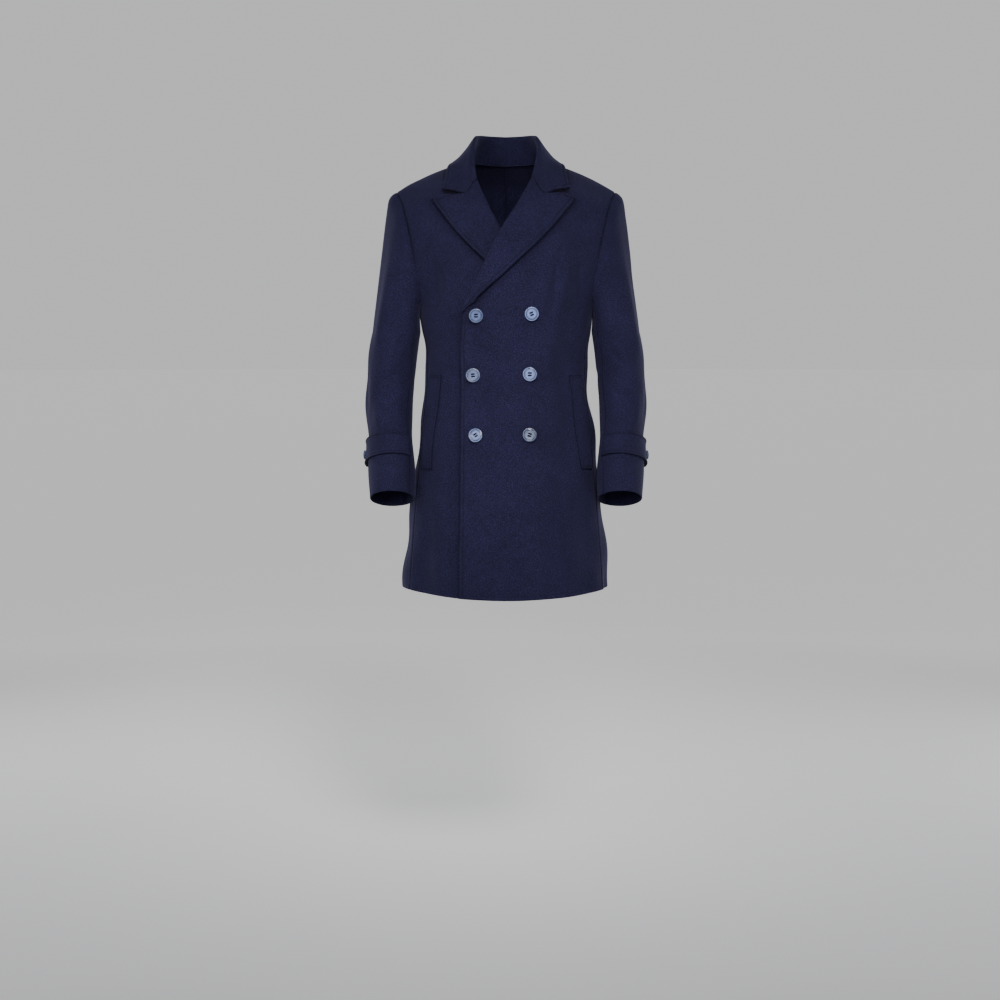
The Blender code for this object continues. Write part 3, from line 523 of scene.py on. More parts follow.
def body_point(rows, place, share):
    """Points of the body: place counts rows up from the hem, share is 0 in the middle and 1 at the side."""
    row = rows_at(rows, place, UNDERARM)
    wrap = np.radians(row[..., WRAP])
    angle = wrap * share
    across = np.sin(angle) / np.sin(wrap)
    deep = (1 - np.cos(angle)) / (1 - np.cos(wrap))
    x = row[..., X_OUT] * across
    y = row[..., Y_MID] + (row[..., Y_OUT] - row[..., Y_MID]) * deep
    z = row[..., Z_MID] + (row[..., Z_OUT] - row[..., Z_MID]) * across * across
    return np.stack([x, y, z], axis=-1)


def share_at(rows, place, x):
    row = rows_at(rows, place, UNDERARM)
    wrap = np.radians(row[..., WRAP])
    sine = np.clip(x * np.sin(wrap) / row[..., X_OUT], -1, 1)
    return np.arcsin(sine) / wrap


def unit(vectors):
    return vectors / np.maximum(np.linalg.norm(vectors, axis=-1, keepdims=True), 1e-12)


def normal_of(surface, u, v, step):
    """Unit normals of a surface given as a function of two values."""
    along = surface(u + step, v) - surface(u - step, v)
    up = surface(u, v + step) - surface(u, v - step)
    return unit(np.cross(along, up))


def front_surface(share, place):
    return body_point(FRONT_ROWS, place, share)


def front_height(place, x):
    row = rows_at(FRONT_ROWS, place, UNDERARM)
    return row[..., Z_MID] + (row[..., Z_OUT] - row[..., Z_MID]) * (x / row[..., X_OUT]) ** 2


def chest_place(x, z):
    """The place in FRONT_ROWS of the points of the front that are seen at x, z."""
    low = np.zeros(np.broadcast(x, z).shape)
    high = np.full(low.shape, float(SHOULDER))
    for _ in range(HALVINGS):
        middle = (low + high) / 2
        height = front_height(middle, x)
        low = np.where(height < z, middle, low)
        high = np.where(height < z, high, middle)
    return (low + high) / 2


def chest(x, z, lift):
    """The points of the front seen at x, z from ahead and moved out by lift, and their normals."""
    place = chest_place(x, z)
    share = share_at(FRONT_ROWS, place, x)
    normal = normal_of(front_surface, share, place, NORMAL_STEP)
    return front_surface(share, place) + normal * np.asarray(lift)[..., None], normal


def overlap_lift(x, z, wall):
    """How far the left front stands out over the right front and the right lapel beneath it."""
    shared = (1 - smoothstep(*OVERLAP_SIDE, x)) * (1 - smoothstep(*OVERLAP_TOP, z))
    over_lapel = shared * smoothstep(*LAPEL_BREAK, z)
    return (wall + LAYER_GAP) * shared + (wall + LAPEL_CLEAR + LAYER_GAP) * over_lapel


def front_lift(side, x, z, wall):
    return overlap_lift(x, z, wall) if side == "left" else np.zeros(np.broadcast(x, z).shape)


def armhole_point(turn):
    """The armhole at degrees round the sleeve: 0 at the shoulder, 180 at the underarm, forward first."""
    turn = np.asarray(turn, float) % 360
    forward = turn <= 180
    share = np.where(forward, turn, 360 - turn) / 180
    place = SHOULDER - (SHOULDER - UNDERARM) * share
    front = rows_at(FRONT_ROWS, place, UNDERARM)[..., X_OUT:Z_OUT + 1]
    back = rows_at(BACK_ROWS, place, UNDERARM)[..., X_OUT:Z_OUT + 1]
    return np.where(forward[..., None], front, back)


def ring_point(turn, place):
    """Points of the lower sleeve: degrees round it, and rings down from the first."""
    ring = rows_at(SLEEVE_RINGS, place)
    turn, lean = np.radians(turn), np.radians(ring[..., 5])
    forward = ring[..., 4] * np.sin(turn)
    x = ring[..., 0] + ring[..., 3] * np.cos(turn)
    y = ring[..., 1] - forward * np.cos(lean)
    z = ring[..., 2] + forward * np.sin(lean)
    return np.stack([x, y, z], axis=-1)


def sleeve_point(turn, height):
    """Points of the sleeve: height 0 at the armhole, 1 at the first ring and CUFF at the cuff."""
    turn, height = np.broadcast_arrays(np.asarray(turn, float), np.asarray(height, float))
    radians = np.radians(turn)
    cap = np.minimum(height, 1)
    upper = 0.5 + 0.5 * np.cos(radians)
    rise = 1 - np.exp(-np.maximum(cap, 0) / CAP_CURVE)
    fullness = CAP_FULLNESS * upper * rise * np.maximum(1 - cap, 0) ** 0.9
    out = unit(np.stack([upper + CAP_OUT[0], -CAP_OUT[1] * np.sin(radians), np.zeros(turn.shape)], axis=-1))
    rope = ROPE_HEIGHT * upper * upper * bell(cap, ROPE_PLACE, ROPE_SPREAD) * rise
    start, end = armhole_point(turn), ring_point(turn, np.zeros(turn.shape))
    point = start + (end - start) * cap[..., None] + out * fullness[..., None]
    point = point + np.array(ROPE_OUT) * rope[..., None]
    return np.where((height >= 1)[..., None], ring_point(turn, np.maximum(height - 1, 0)), point)


def strap_point(turn, height, wall):
    """The outer face of the cuff strap, which stands off the sleeve towards its tip, and its normals."""
    start = FRONT_SEAM - STRAP_START
    share = (turn - start) / (STRAP_POINT - start)
    normal = normal_of(sleeve_point, turn, height, 0.02)
    lift = wall + LAYER_GAP + STRAP_LIFT * smoothstep(*STRAP_RISE, share)
    return sleeve_point(turn, height) + normal * lift[..., None], normal


# ---- Grids ----------------------------------------------------------------------------------------------


def lengths_along(points):
    """How far each point of every row is from the row's first one."""
    steps = np.linalg.norm(np.diff(points[..., :3], axis=1), axis=-1)
    return np.concatenate([np.zeros((len(points), 1)), np.cumsum(steps, axis=1)], axis=1)


def ladder(length, count, start, end):
    """Distances from 0 to length: narrow steps at both ends and count even ones between them."""
    start, end = np.array(start) * MM, np.array(end) * MM
    scale = min(1.0, 0.45 * length / max(start[-1], end[-1]))
    start, end = start * scale, length - end[::-1] * scale
    middle = np.linspace(start[-1], end[0], count + 1)[1:-1]
    return np.concatenate([start, middle, end])


def respaced(grid, step, start, end):
    """The same grid with new columns, at distances along each row that suit its two borders."""
    along = lengths_along(grid)
    count = max(2, round(float(np.median(along[:, -1])) / step))
    rows = []
    for line, reached in zip(grid, along):
        places = ladder(reached[-1], count, start, end)
        rows.append(np.stack([np.interp(places, reached, values) for values in line.T], axis=-1))
    return np.array(rows)


def turned(grid):
    return np.swapaxes(grid, 0, 1)


def mesh_spacing(grid, step, sides):
    """A dense grid thinned to the cloth's own spacing, finer by its four borders: left, right, low, high."""
    left, right, low, high = sides
    return turned(respaced(turned(respaced(grid, step, left, right)), step, low, high))


def grid_normals(points):
    along, up = np.gradient(points, axis=1), np.gradient(points, axis=0)
    return unit(np.cross(along, up))


Border = namedtuple("Border", "stitched seam rounded", defaults=(1.0,))
BORDERS = ("left", "right", "low", "high")
SEAM = Border(0.0, 1.0)
STITCHED = Border(1.0, 0.0)
PLAIN = Border(0.0, 0.0)
HIDDEN = Border(0.0, 0.0, 0.0)


def rounding(distance, border):
    """How far the outer face is drawn in by one border, which is rounded over."""
    inside = np.clip(EDGE_ROUND - distance, 0, EDGE_ROUND)
    return (EDGE_ROUND - np.sqrt(np.maximum(EDGE_ROUND ** 2 - inside ** 2, 0))) * border.rounded


def border_relief(distance, border, inset):
    """The height of the outer face by one border: rounded over, padded and sunk along its stitching."""
    inward = np.maximum(distance, 0)
    padding, middle, width = EDGE_PADDING
    swell = padding * bell(inward, middle * inset, width * inset)
    valley = STITCH_VALLEY[0] * bell(inward, inset, STITCH_VALLEY[1])
    ridge = SEAM_RIDGE[0] * bell(inward, *SEAM_RIDGE[1:])
    sunk = SEAM_VALLEY[0] * bell(inward, 0, SEAM_VALLEY[1]) - ridge
    return -rounding(distance, border) + border.stitched * (swell - valley) - border.seam * sunk


def border_painted_shade(distance, border, inset):
    """Painted shade by one border: the cloth is painted darker in its stitching valley and where it turns in.
    """
    distance = np.abs(distance)
    valley = STITCH_PAINTED_SHADE * border.stitched * bell(distance, inset, 0.0011)
    turned_in = TURNED_EDGE_PAINTED_SHADE * np.maximum(border.stitched, border.seam) * bell(distance, 0, 0.0015)
    return 1 - np.maximum(valley, turned_in)


def lapped_painted_shadow(side, x, z):
    """Painted shadow on the right side beside the edge of the left front or lapel over it."""
    past = x - value_at(FRONT_REACH, z, COLUMN["left"])
    faded = sum(part * np.exp(-np.maximum(past, 0) / reach) for part, reach in LAPPED_PAINTED_SHADOW_FADES)
    return 1 - LAPPED_PAINTED_SHADOW * (side == "right") * faded


def covered_painted_shadow(side, x, z):
    """Painted shadow on a front beside the lapel, under the collar's leaf and beside the left front's edge.
    """
    bottom, top = LAPEL_EDGE[0][0], LAPEL_EDGE[-1][0]
    notch, tip = NOTCH[side], LEAF_TIP[side]
    past = (x - value_at(LAPEL_EDGE, z, COLUMN[side])) * LAPEL_SLANT
    beside = smoothstep(bottom - 0.006, bottom + 0.010, z) * (1 - smoothstep(top - 0.006, top + 0.004, z))
    share = (x - notch.x) / (tip.x - notch.x)
    below = notch.z + (tip.z - notch.z) * share - z
    under = smoothstep(-0.05, 0.15, share) * (1 - smoothstep(0.92, 1.08, share))
    lapel = 1 - LAPEL_PAINTED_SHADOW * beside * np.exp(-np.maximum(past, 0) / PAINTED_SHADOW_REACH)
    leaf = 1 - LEAF_PAINTED_SHADOW * under * bell(np.maximum(below, 0), 0, PAINTED_SHADOW_REACH)
    return lapel * leaf * lapped_painted_shadow(side, x, z)


def edge_lift(distance, lift):
    """The stand of a free edge off the layer beneath: a height, and the width over which it fades."""
    height, width = lift
    return height * (1 - smoothstep(0, width, distance))


def crease_relief(across, up, creases, scale=(1.0, 1.0)):
    """Soft troughs and ridges, each along a curve through three places."""
    total = np.zeros(np.broadcast(across, up).shape)
    for a0, b0, a1, b1, a2, b2, width, height in creases:
        share = np.linspace(0, 1, CREASE_STEPS + 1)
        bend = 2 * share * (1 - share)
        a = a0 * (1 - share) ** 2 + (2 * a1 - (a0 + a2) / 2) * bend + a2 * share ** 2
        b = b0 * (1 - share) ** 2 + (2 * b1 - (b0 + b2) / 2) * bend + b2 * share ** 2
        run_a, run_b = np.diff(a) * scale[0], np.diff(b) * scale[1]
        nearest = np.full(total.shape, np.inf)
        along = np.zeros(total.shape)
        for i in range(CREASE_STEPS):
            from_a, from_b = (across - a[i]) * scale[0], (up - b[i]) * scale[1]
            part = (from_a * run_a[i] + from_b * run_b[i]) / (run_a[i] ** 2 + run_b[i] ** 2)
            part = np.clip(part, 0, 1)
            gap = (from_a - part * run_a[i]) ** 2 + (from_b - part * run_b[i]) ** 2
            along = np.where(gap < nearest, (i + part) / CREASE_STEPS, along)
            nearest = np.minimum(nearest, gap)
        taper = smoothstep(*CREASE_START, along) * (1 - smoothstep(*CREASE_END, along))
        total = total + height * (0.15 + 0.85 * taper) * np.exp(-nearest / width ** 2)
    return total


def wave_relief(a, b):
    """Long, shallow waves in cloth that isn't pressed quite flat."""
    total = np.zeros(np.broadcast(a, b).shape)
    for length, height, degrees, phase in WAVES:
        turn = math.radians(degrees)
        along = a * math.cos(turn) + b * math.sin(turn)
        total = total + height * np.sin(2 * math.pi * along / length + phase)
    return total


def panel_relief(kind, x, z):
    """Creases and waves of the fronts or the back. The layers over a front share those of the front."""
    hem = smoothstep(*kind.hem, z)
    ripple = kind.height * hem * np.sin(x * 2 * math.pi / kind.length + kind.phase)
    waves = wave_relief(x + kind.aside, z) * (kind.waves + kind.hem_waves * hem)
    return (crease_relief(x, z, kind.creases) + waves) * (1 - smoothstep(*kind.top, z)) + ripple


def sleeve_relief(side, turn, height):
    """Creases and waves of a sleeve and of the strap on it."""
    waves = wave_relief(turn * SLEEVE_SCALE[0] * np.cos(0.3), height * SLEEVE_SCALE[1])
    return crease_relief(turn, height, SLEEVE_CREASES[side], SLEEVE_SCALE) + waves


# ---- Meshes ---------------------------------------------------------------------------------------------


def deselect_all():
    if bpy.context.object and bpy.context.object.mode != "OBJECT":
        bpy.ops.object.mode_set(mode="OBJECT")
    bpy.ops.object.select_all(action="DESELECT")


def make_active(obj):
    deselect_all()
    obj.select_set(True)
    bpy.context.view_layer.objects.active = obj


def apply_modifiers(obj):
    make_active(obj)
    for modifier in list(obj.modifiers):
        bpy.ops.object.modifier_apply(modifier=modifier.name)


def add_shell(name, outer, inner):
    """A closed sheet of cloth: a grid given its wall, then laid on an outer and an inner face."""
    rows, columns = outer.shape[:2]
    deselect_all()
    bpy.ops.mesh.primitive_grid_add(x_subdivisions=columns - 1, y_subdivisions=rows - 1, size=1)
    obj = bpy.context.object
    obj.name = obj.data.name = name
    wall = obj.modifiers.new("wall", "SOLIDIFY")
    wall.thickness = 0.001
    wall.offset = -1
    apply_modifiers(obj)
    points = np.concatenate([outer.reshape(-1, 3), inner.reshape(-1, 3)])
    if len(obj.data.vertices) != len(points):
        raise RuntimeError(name + ": the wall doesn't have two points for each one of the grid")
    obj.data.vertices.foreach_set("co", points.ravel())
    obj.data.update()
    bpy.ops.object.shade_smooth()
    return obj


def store_tone_and_painted_shade(obj, values):
    """Store on each point how pale its material is painted there: its own tone, times painted shade."""
    stored = obj.data.attributes.get("tone_and_painted_shade") or obj.data.attributes.new("tone_and_painted_shade", "FLOAT", "POINT")
    stored.data.foreach_set("value", values.astype(np.float32))


def with_allowance(dense, sides):
    """Lengthen a grid past its seams, where asked: left, right, low and high."""
    def longer(lines, place):
        near, far = (lines[:, 0], lines[:, 1]) if place == "start" else (lines[:, -1], lines[:, -2])
        extra = near.copy()
        onward, seam = near[:, :3] - far[:, :3], unit(np.gradient(near[:, :3], axis=0))
        onward = onward - seam * (onward * seam).sum(axis=-1, keepdims=True)
        extra[:, :3] += unit(onward) * SEAM_ALLOWANCE
        return np.insert(lines, 0 if place == "start" else lines.shape[1], extra, axis=1)

    if "left" in sides:
        dense = longer(dense, "start")
    if "right" in sides:
        dense = longer(dense, "end")
    if "low" in sides:
        dense = turned(longer(turned(dense), "start"))
    if "high" in sides:
        dense = turned(longer(turned(dense), "end"))
    return dense


class Sheet:
    """One cloth piece: its points, its outer face, and what is laid along its borders."""

    def __init__(self, name, side, points, values, steps, facing, sizes, seams=()):
        """The dense points have two values each. Steps are for the left, right, low and high borders."""
        layers = [np.broadcast_to(value, points.shape[:2])[..., None] for value in values]
        dense = with_allowance(np.concatenate([points, *layers], axis=-1), seams)
        steps = [SEAM_STEPS if place in seams else step for place, step in zip(BORDERS, steps)]
        grid = mesh_spacing(dense, sizes.step, steps)
        if facing < 0:
            grid = grid[:, ::-1]
            swap = {"left": "right", "right": "left"}
            seams = [swap.get(place, place) for place in seams]
        self.name, self.side, self.wall = name, side, sizes.wall
        self.points = grid[..., :3]
        self.values = grid[..., 3], grid[..., 4]
        self.normals = grid_normals(self.points)
        across, up = lengths_along(self.points), turned(lengths_along(turned(self.points)))
        self.borders = dict(zip(BORDERS, (across, across[:, -1:] - across, up, up[-1:] - up)))
        for place in seams:
            self.borders[place] = self.borders[place] - SEAM_ALLOWANCE
        self.width = float(across[:, -1].max())
        self.length = float(up[-1].max())
        self.outer = self.inner = self.tone_and_painted_shade = None

    def area(self):
        across, up = np.diff(self.points, axis=1)[:-1], np.diff(self.points, axis=0)[:, :-1]
        return float(np.linalg.norm(np.cross(across, up), axis=-1).sum())

    def lay(self, relief, borders, inset, tone_and_painted_shade=1.0):
        """Raise the outer face by its relief and shape its borders; the inner face follows the creases."""
        tucked = [np.maximum(-self.borders[place], 0) * border.rounded for place, border in borders.items()]
        relief = relief - np.max(tucked, axis=0)
        height = relief
        round_in = np.zeros(relief.shape)
        # painted shade: the cloth is painted darker by its borders, times the painted shadow passed in
        self.tone_and_painted_shade = tone_and_painted_shade * np.ones(relief.shape)
        for place, border in borders.items():
            distance = self.borders[place]
            self.tone_and_painted_shade = self.tone_and_painted_shade * border_painted_shade(distance, border, inset)
            height = height + border_relief(distance, border, inset)
            round_in = round_in + rounding(distance, border)
        depth = relief - self.wall + np.minimum(round_in, EDGE_ROUND)
        self.outer = self.points + self.normals * height[..., None]
        self.inner = self.points + self.normals * depth[..., None]
        if self.side == "right":
            flipped = np.array((-1, 1, 1))
            self.outer, self.inner = (self.outer * flipped)[:, ::-1], (self.inner * flipped)[:, ::-1]
            self.tone_and_painted_shade = self.tone_and_painted_shade[:, ::-1]

    def seam_path(self, border, inset, trim=(0.0, 0.0), below=math.inf):
        """Points and normals along the outer face at a distance in from one border, trimmed at its ends."""
        outer, distance = self.outer, self.borders[border]
        if self.side == "right":
            distance = distance[:, ::-1]
        normals = grid_normals(outer)
        if border in ("low", "high"):
            outer, normals, distance = turned(outer), turned(normals), turned(distance)
        if distance[0, 0] > distance[0, -1]:
            outer, normals, distance = outer[:, ::-1], normals[:, ::-1], distance[:, ::-1]
        path = []
        for line, across, reached in zip(outer, normals, distance):
            point = [np.interp(inset, reached, line[:, k]) for k in range(3)]
            normal = [np.interp(inset, reached, across[:, k]) for k in range(3)]
            path.append(point + normal)
        path = np.array(path)
        along = running_length(path)
        chosen = (along >= trim[0]) & (along <= along[-1] - trim[1]) & (path[:, 2] < below)
        return path[chosen]

    def build(self, material):
        obj = add_shell(self.name, self.outer, self.inner)
        # painted shade on the outer face only; the inner face stays unshaded
        store_tone_and_painted_shade(obj, np.concatenate([self.tone_and_painted_shade.ravel(), np.ones(self.tone_and_painted_shade.size)]))
        obj.data.materials.append(material)
        return obj


def front_sheet(side, sizes):
    rise, across = shares(*FRONT_DENSE)
    up = SHOULDER * rise
    edge = np.zeros(up.shape)
    for _ in range(SETTLING):
        height = front_height(up, edge)
        setback = ROLL_SETBACK * smoothstep(*ROLL_SETBACK_HEIGHT, height)
        edge = setback - value_at(FRONT_REACH, height, COLUMN[side])
    start = share_at(FRONT_ROWS, up, edge)
    share = start + (1 - start) * across
    place = up + np.zeros(share.shape)
    points = front_surface(share, place)
    normal = normal_of(front_surface, share, place, NORMAL_STEP)
    x, z = points[..., 0], points[..., 2]
    points = points + normal * front_lift(side, x, z, sizes.wall)[..., None]
    steps = (FINE_STEPS, NARROW_STEPS, FINE_STEPS, NARROW_STEPS)
    values = x * SIDES[side], z
    sheet = Sheet("wool_front_" + side, side, points, values, steps, 1, sizes, ("right", "high"))
    a, b = sheet.values
    below_break = 1 - smoothstep(*STITCH_BREAK, b)
    edge_fade = smoothstep(0, EDGE_FADE, sheet.borders["right"])
    relief = panel_relief(FRONT_RELIEF, a, b) * sizes.crease * edge_fade
    if side == "left":
        relief = relief + edge_lift(sheet.borders["left"], FRONT_LIFT) * below_break
    else:
        relief = relief - UNDERLAP_SINK * smoothstep(*UNDERLAP_SIDE, a) * below_break
    borders = {"right": side_border(b), "high": SEAM, "low": PLAIN, "left": Border(below_break, 0)}
    # painted shadow beside the lapel, under the collar's leaf and beside the left front's edge
    sheet.lay(relief, borders, sizes.inset, covered_painted_shadow(side, a * SIDES[side], b))
    return sheet


def side_border(z):
    """The side seam and armhole of a panel. The lower armhole isn't rounded, as it faces the sleeve."""
    facing = smoothstep(*ARMHOLE_LOW, z) * (1 - smoothstep(*ARMHOLE_HIGH, z))
    return Border(0.0, 1 - facing, 1 - facing)


def neck_place(x):
    across = np.clip(x / NECK_HALF_WIDTH, 0, 1)
    return SHOULDER - NECK_DROP * np.sqrt(1 - across * across)


def back_sheet(side, sizes):
    up, share = shares(*BACK_DENSE)
    top = np.full(share.shape, SHOULDER - NECK_DROP / 2)
    for _ in range(SETTLING):
        top = neck_place(body_point(BACK_ROWS, top, share)[..., 0])
    place = top * up
    points = body_point(BACK_ROWS, place, share + np.zeros(place.shape))
    steps = (NARROW_STEPS, NARROW_STEPS, FINE_STEPS, NARROW_STEPS)
    values = points[..., 0] * SIDES[side], points[..., 2]
    sheet = Sheet("wool_back_" + side, side, points, values, steps, -1, sizes, ("left", "right", "high"))
    a, b = sheet.values
    relief = panel_relief(BACK_RELIEF, a, b) * sizes.crease * smoothstep(0, EDGE_FADE, sheet.borders["left"])
    sheet.lay(relief, {"left": side_border(b), "right": SEAM, "high": SEAM, "low": PLAIN}, sizes.inset)
    return sheet


def cuff_fade(height):
    return 1 - 0.6 * smoothstep(*CUFF_PLAIN, height)


def sleeve_sheet(part, side, sizes):
    first, last = (FRONT_SEAM, BACK_SEAM - 360) if part == "top" else (BACK_SEAM, FRONT_SEAM)
    cap_rows, rows, columns = SLEEVE_DENSE
    turn = np.linspace(first, last, columns)[None, :]
    near = np.linspace(0, 1, cap_rows) ** 1.6
    height = np.concatenate([near, np.linspace(1, CUFF, rows)[1:]])[:, None]
    points = sleeve_point(turn, height)
    steps = (NARROW_STEPS, NARROW_STEPS, NARROW_STEPS, FINE_STEPS)
    name = f"wool_sleeve_{part}_{side}"
    sheet = Sheet(name, side, points, (turn, height), steps, -1, sizes, ("left", "right", "low"))
    a, b = sheet.values
    wrapped = np.where(a > SLEEVE_WRAP, a - 360, a)
    outer = [crease for crease in SLEEVE_CREASES[side] if crease[0] < 0]
    reached = crease_relief(wrapped, b, outer, SLEEVE_SCALE) * (wrapped != a)
    below_cap = smoothstep(*CAP_PLAIN, b)
    relief = (sleeve_relief(side, a, b) + reached) * sizes.crease * below_cap * cuff_fade(b)
    thin_folds = crease_relief(a, b, SLEEVE_CREASES[side][:2], SLEEVE_SCALE)
    relief = relief + thin_folds * sizes.crease * (1 - below_cap) * smoothstep(0, 0.06, b)
    facing = smoothstep(*ARMHOLE_FACING, np.abs((a + 180) % 360 - 180))
    armhole = Border(0.0, 1 - facing, 1 - facing)
    sheet.lay(relief, {"right": SEAM, "left": SEAM, "low": armhole, "high": PLAIN}, sizes.inset)
    return sheet


def body_tree():
    """Both fronts and both backs as one surface, to lay the collar on."""
    points, faces = [], []
    count = BODY_DENSE
    share = np.linspace(-1, 1, count)[None, :]
    place = SHOULDER * np.linspace(0.5, 1, count)[:, None]
    for rows in (FRONT_ROWS, BACK_ROWS):
        start = len(points)
        points.extend(body_point(rows, place + 0 * share, share + 0 * place).reshape(-1, 3))
        for j in range(count - 1):
            for i in range(count - 1):
                corner = start + j * count + i
                quad = (corner, corner + 1, corner + count + 1, corner + count)
                faces.append(quad if rows is FRONT_ROWS else quad[::-1])
    return BVHTree.FromPolygons([Vector(p) for p in points], faces)


def laid(tree, point, clearance):
    """A point, moved out where it is nearer to the body than the clearance."""
    near, normal, _, _ = tree.find_nearest(Vector(point))
    height = (Vector(point) - near).dot(normal)
    return np.array(point if height >= clearance else near + normal * clearance)


def collar_line(row):
    """Points across the collar, from its seam up the stand, round the fold and down the fall."""
    seam, fold, edge = row[0:3], row[3:6], row[6:9]
    out = unit((edge - fold) * np.array((1, 1, 0)))
    up = np.array((0.0, 0.0, 1.0))
    radius = min(FOLD_RADIUS, max(FOLD_RADIUS_FRONT, (fold[2] - seam[2]) * 0.3))
    center = fold + out * radius
    stand = [seam, (seam + fold) / 2]
    fold_turn = [center - out * radius, center + unit(up - out) * radius, center + up * radius]
    start = center + (up * 0.6 + out * 0.8) * radius
    fall = [start]
    for share in (0.3, 0.65, 1.0):
        fall.append(start + (edge - start) * share - up * FALL_SAG * math.sin(math.pi * share))
    return np.array(stand + fold_turn + fall)


def roll_curl(face, x_roll, z_roll, height, relief, wall, degrees):
    """Points that carry the cloth from the start of a face round the raw edge of the front behind it."""
    edge, normal = chest(x_roll, z_roll, relief)
    across = unit(face[:, 1:2] - face[:, :1])
    inward = -unit(across - normal * (normal * across).sum(axis=-1, keepdims=True))
    radius = wall * 1.5 + LAYER_GAP
    centre = edge + normal * (height - radius)[..., None]
    turn = np.radians(degrees)[None, :, None]
    return centre + inward * radius * np.cos(turn) + normal * radius * np.sin(turn)


def gorge_start(side):
    height = GORGE_HEIGHT[side]
    return Corner(-float(value_at(FRONT_REACH, height, COLUMN[side])), height)


def collar_front(side, wall):
    """The front end of the collar: round the roll, down the gorge to the notch, and out to the leaf's tip."""
    gorge, notch, tip = gorge_start(side), NOTCH[side], LEAF_TIP[side]
    height = wall + LAPEL_CLEAR + LAPEL_ROLL
    places = np.array((
        (gorge.x, gorge.z + GORGE_GAP),
        ((gorge.x + notch.x) / 2, (gorge.z + notch.z) / 2 + GORGE_GAP),
        (notch.x, notch.z + 2 * GORGE_GAP),
        ((notch.x + tip.x) / 2, (notch.z + tip.z) / 2 + NOTCH_OPENING),
        tip,
    ))
    face = chest(places[:, 0], places[:, 1], height)[0][None]
    start = places[:1, :1], places[:1, 1:]
    curl = roll_curl(face, *start, np.full((1, 1), height), np.zeros((1, 1)), wall, COLLAR_CURL)
    return np.concatenate([curl[0], face[0]])


def curve_through(points, places):
    """Points on a smooth curve through the given ones, at shares of the way along it."""
    steps = np.linalg.norm(np.diff(points, axis=0), axis=1)
    reached = np.concatenate([[0], np.cumsum(steps)]) / steps.sum()
    table = np.column_stack([reached, points])
    return np.column_stack([value_at(table, places, k) for k in (1, 2, 3)])


def collar_sheet(sizes):
    tree = body_tree()
    last = len(COLLAR_ROWS) - 1
    plain_end = collar_line(np.array(COLLAR_ROWS[-1]))
    fronts = {side: collar_front(side, sizes.wall) for side in SIDES}
    up, along = shares(*COLLAR_DENSE)
    lines = []
    for j in range(-COLLAR_HALF, COLLAR_HALF + 1):
        side = "left" if j >= 0 else "right"
        place = last * abs(j) / COLLAR_HALF
        line = collar_line(rows_at(COLLAR_ROWS, place))
        nearness = smoothstep(last - COLLAR_BLEND, last, place)
        line = line + (fronts[side] - plain_end) * nearness
        for i in range(6, 9):
            line[i] = laid(tree, line[i], sizes.wall + LAYER_GAP)
        lines.append(curve_through(line * np.array((SIDES[side], 1, 1)), up[:, 0]))
    sparse = turned(np.array(lines))
    points = np.array([curve_through(line, along[0]) for line in sparse])
    values = 2 * along - 1, up
    steps = (FINE_STEPS, FINE_STEPS, NARROW_STEPS, FINE_STEPS)
    sheet = Sheet("wool_collar", "left", points, values, steps, 1, sizes, ("low",))
    a, b = sheet.values
    leaf = smoothstep(*LEAF_START, b)
    shown = smoothstep(*COLLAR_SHOWN, b)
    ends = Border(leaf, 0.6 * shown * (1 - leaf))
    relief = (0.0009 * np.sin(a * 9.0 + 0.6) + 0.0006 * np.sin(a * 17.0 + 2.0)) * smoothstep(0.55, 1.0, b)
    relief = np.maximum(relief, 0) * sizes.crease + edge_lift(sheet.borders["high"], LEAF_LIFT) * shown
    sheet.lay(relief, {"left": ends, "right": ends, "high": STITCHED, "low": HIDDEN}, sizes.inset)
    return sheet


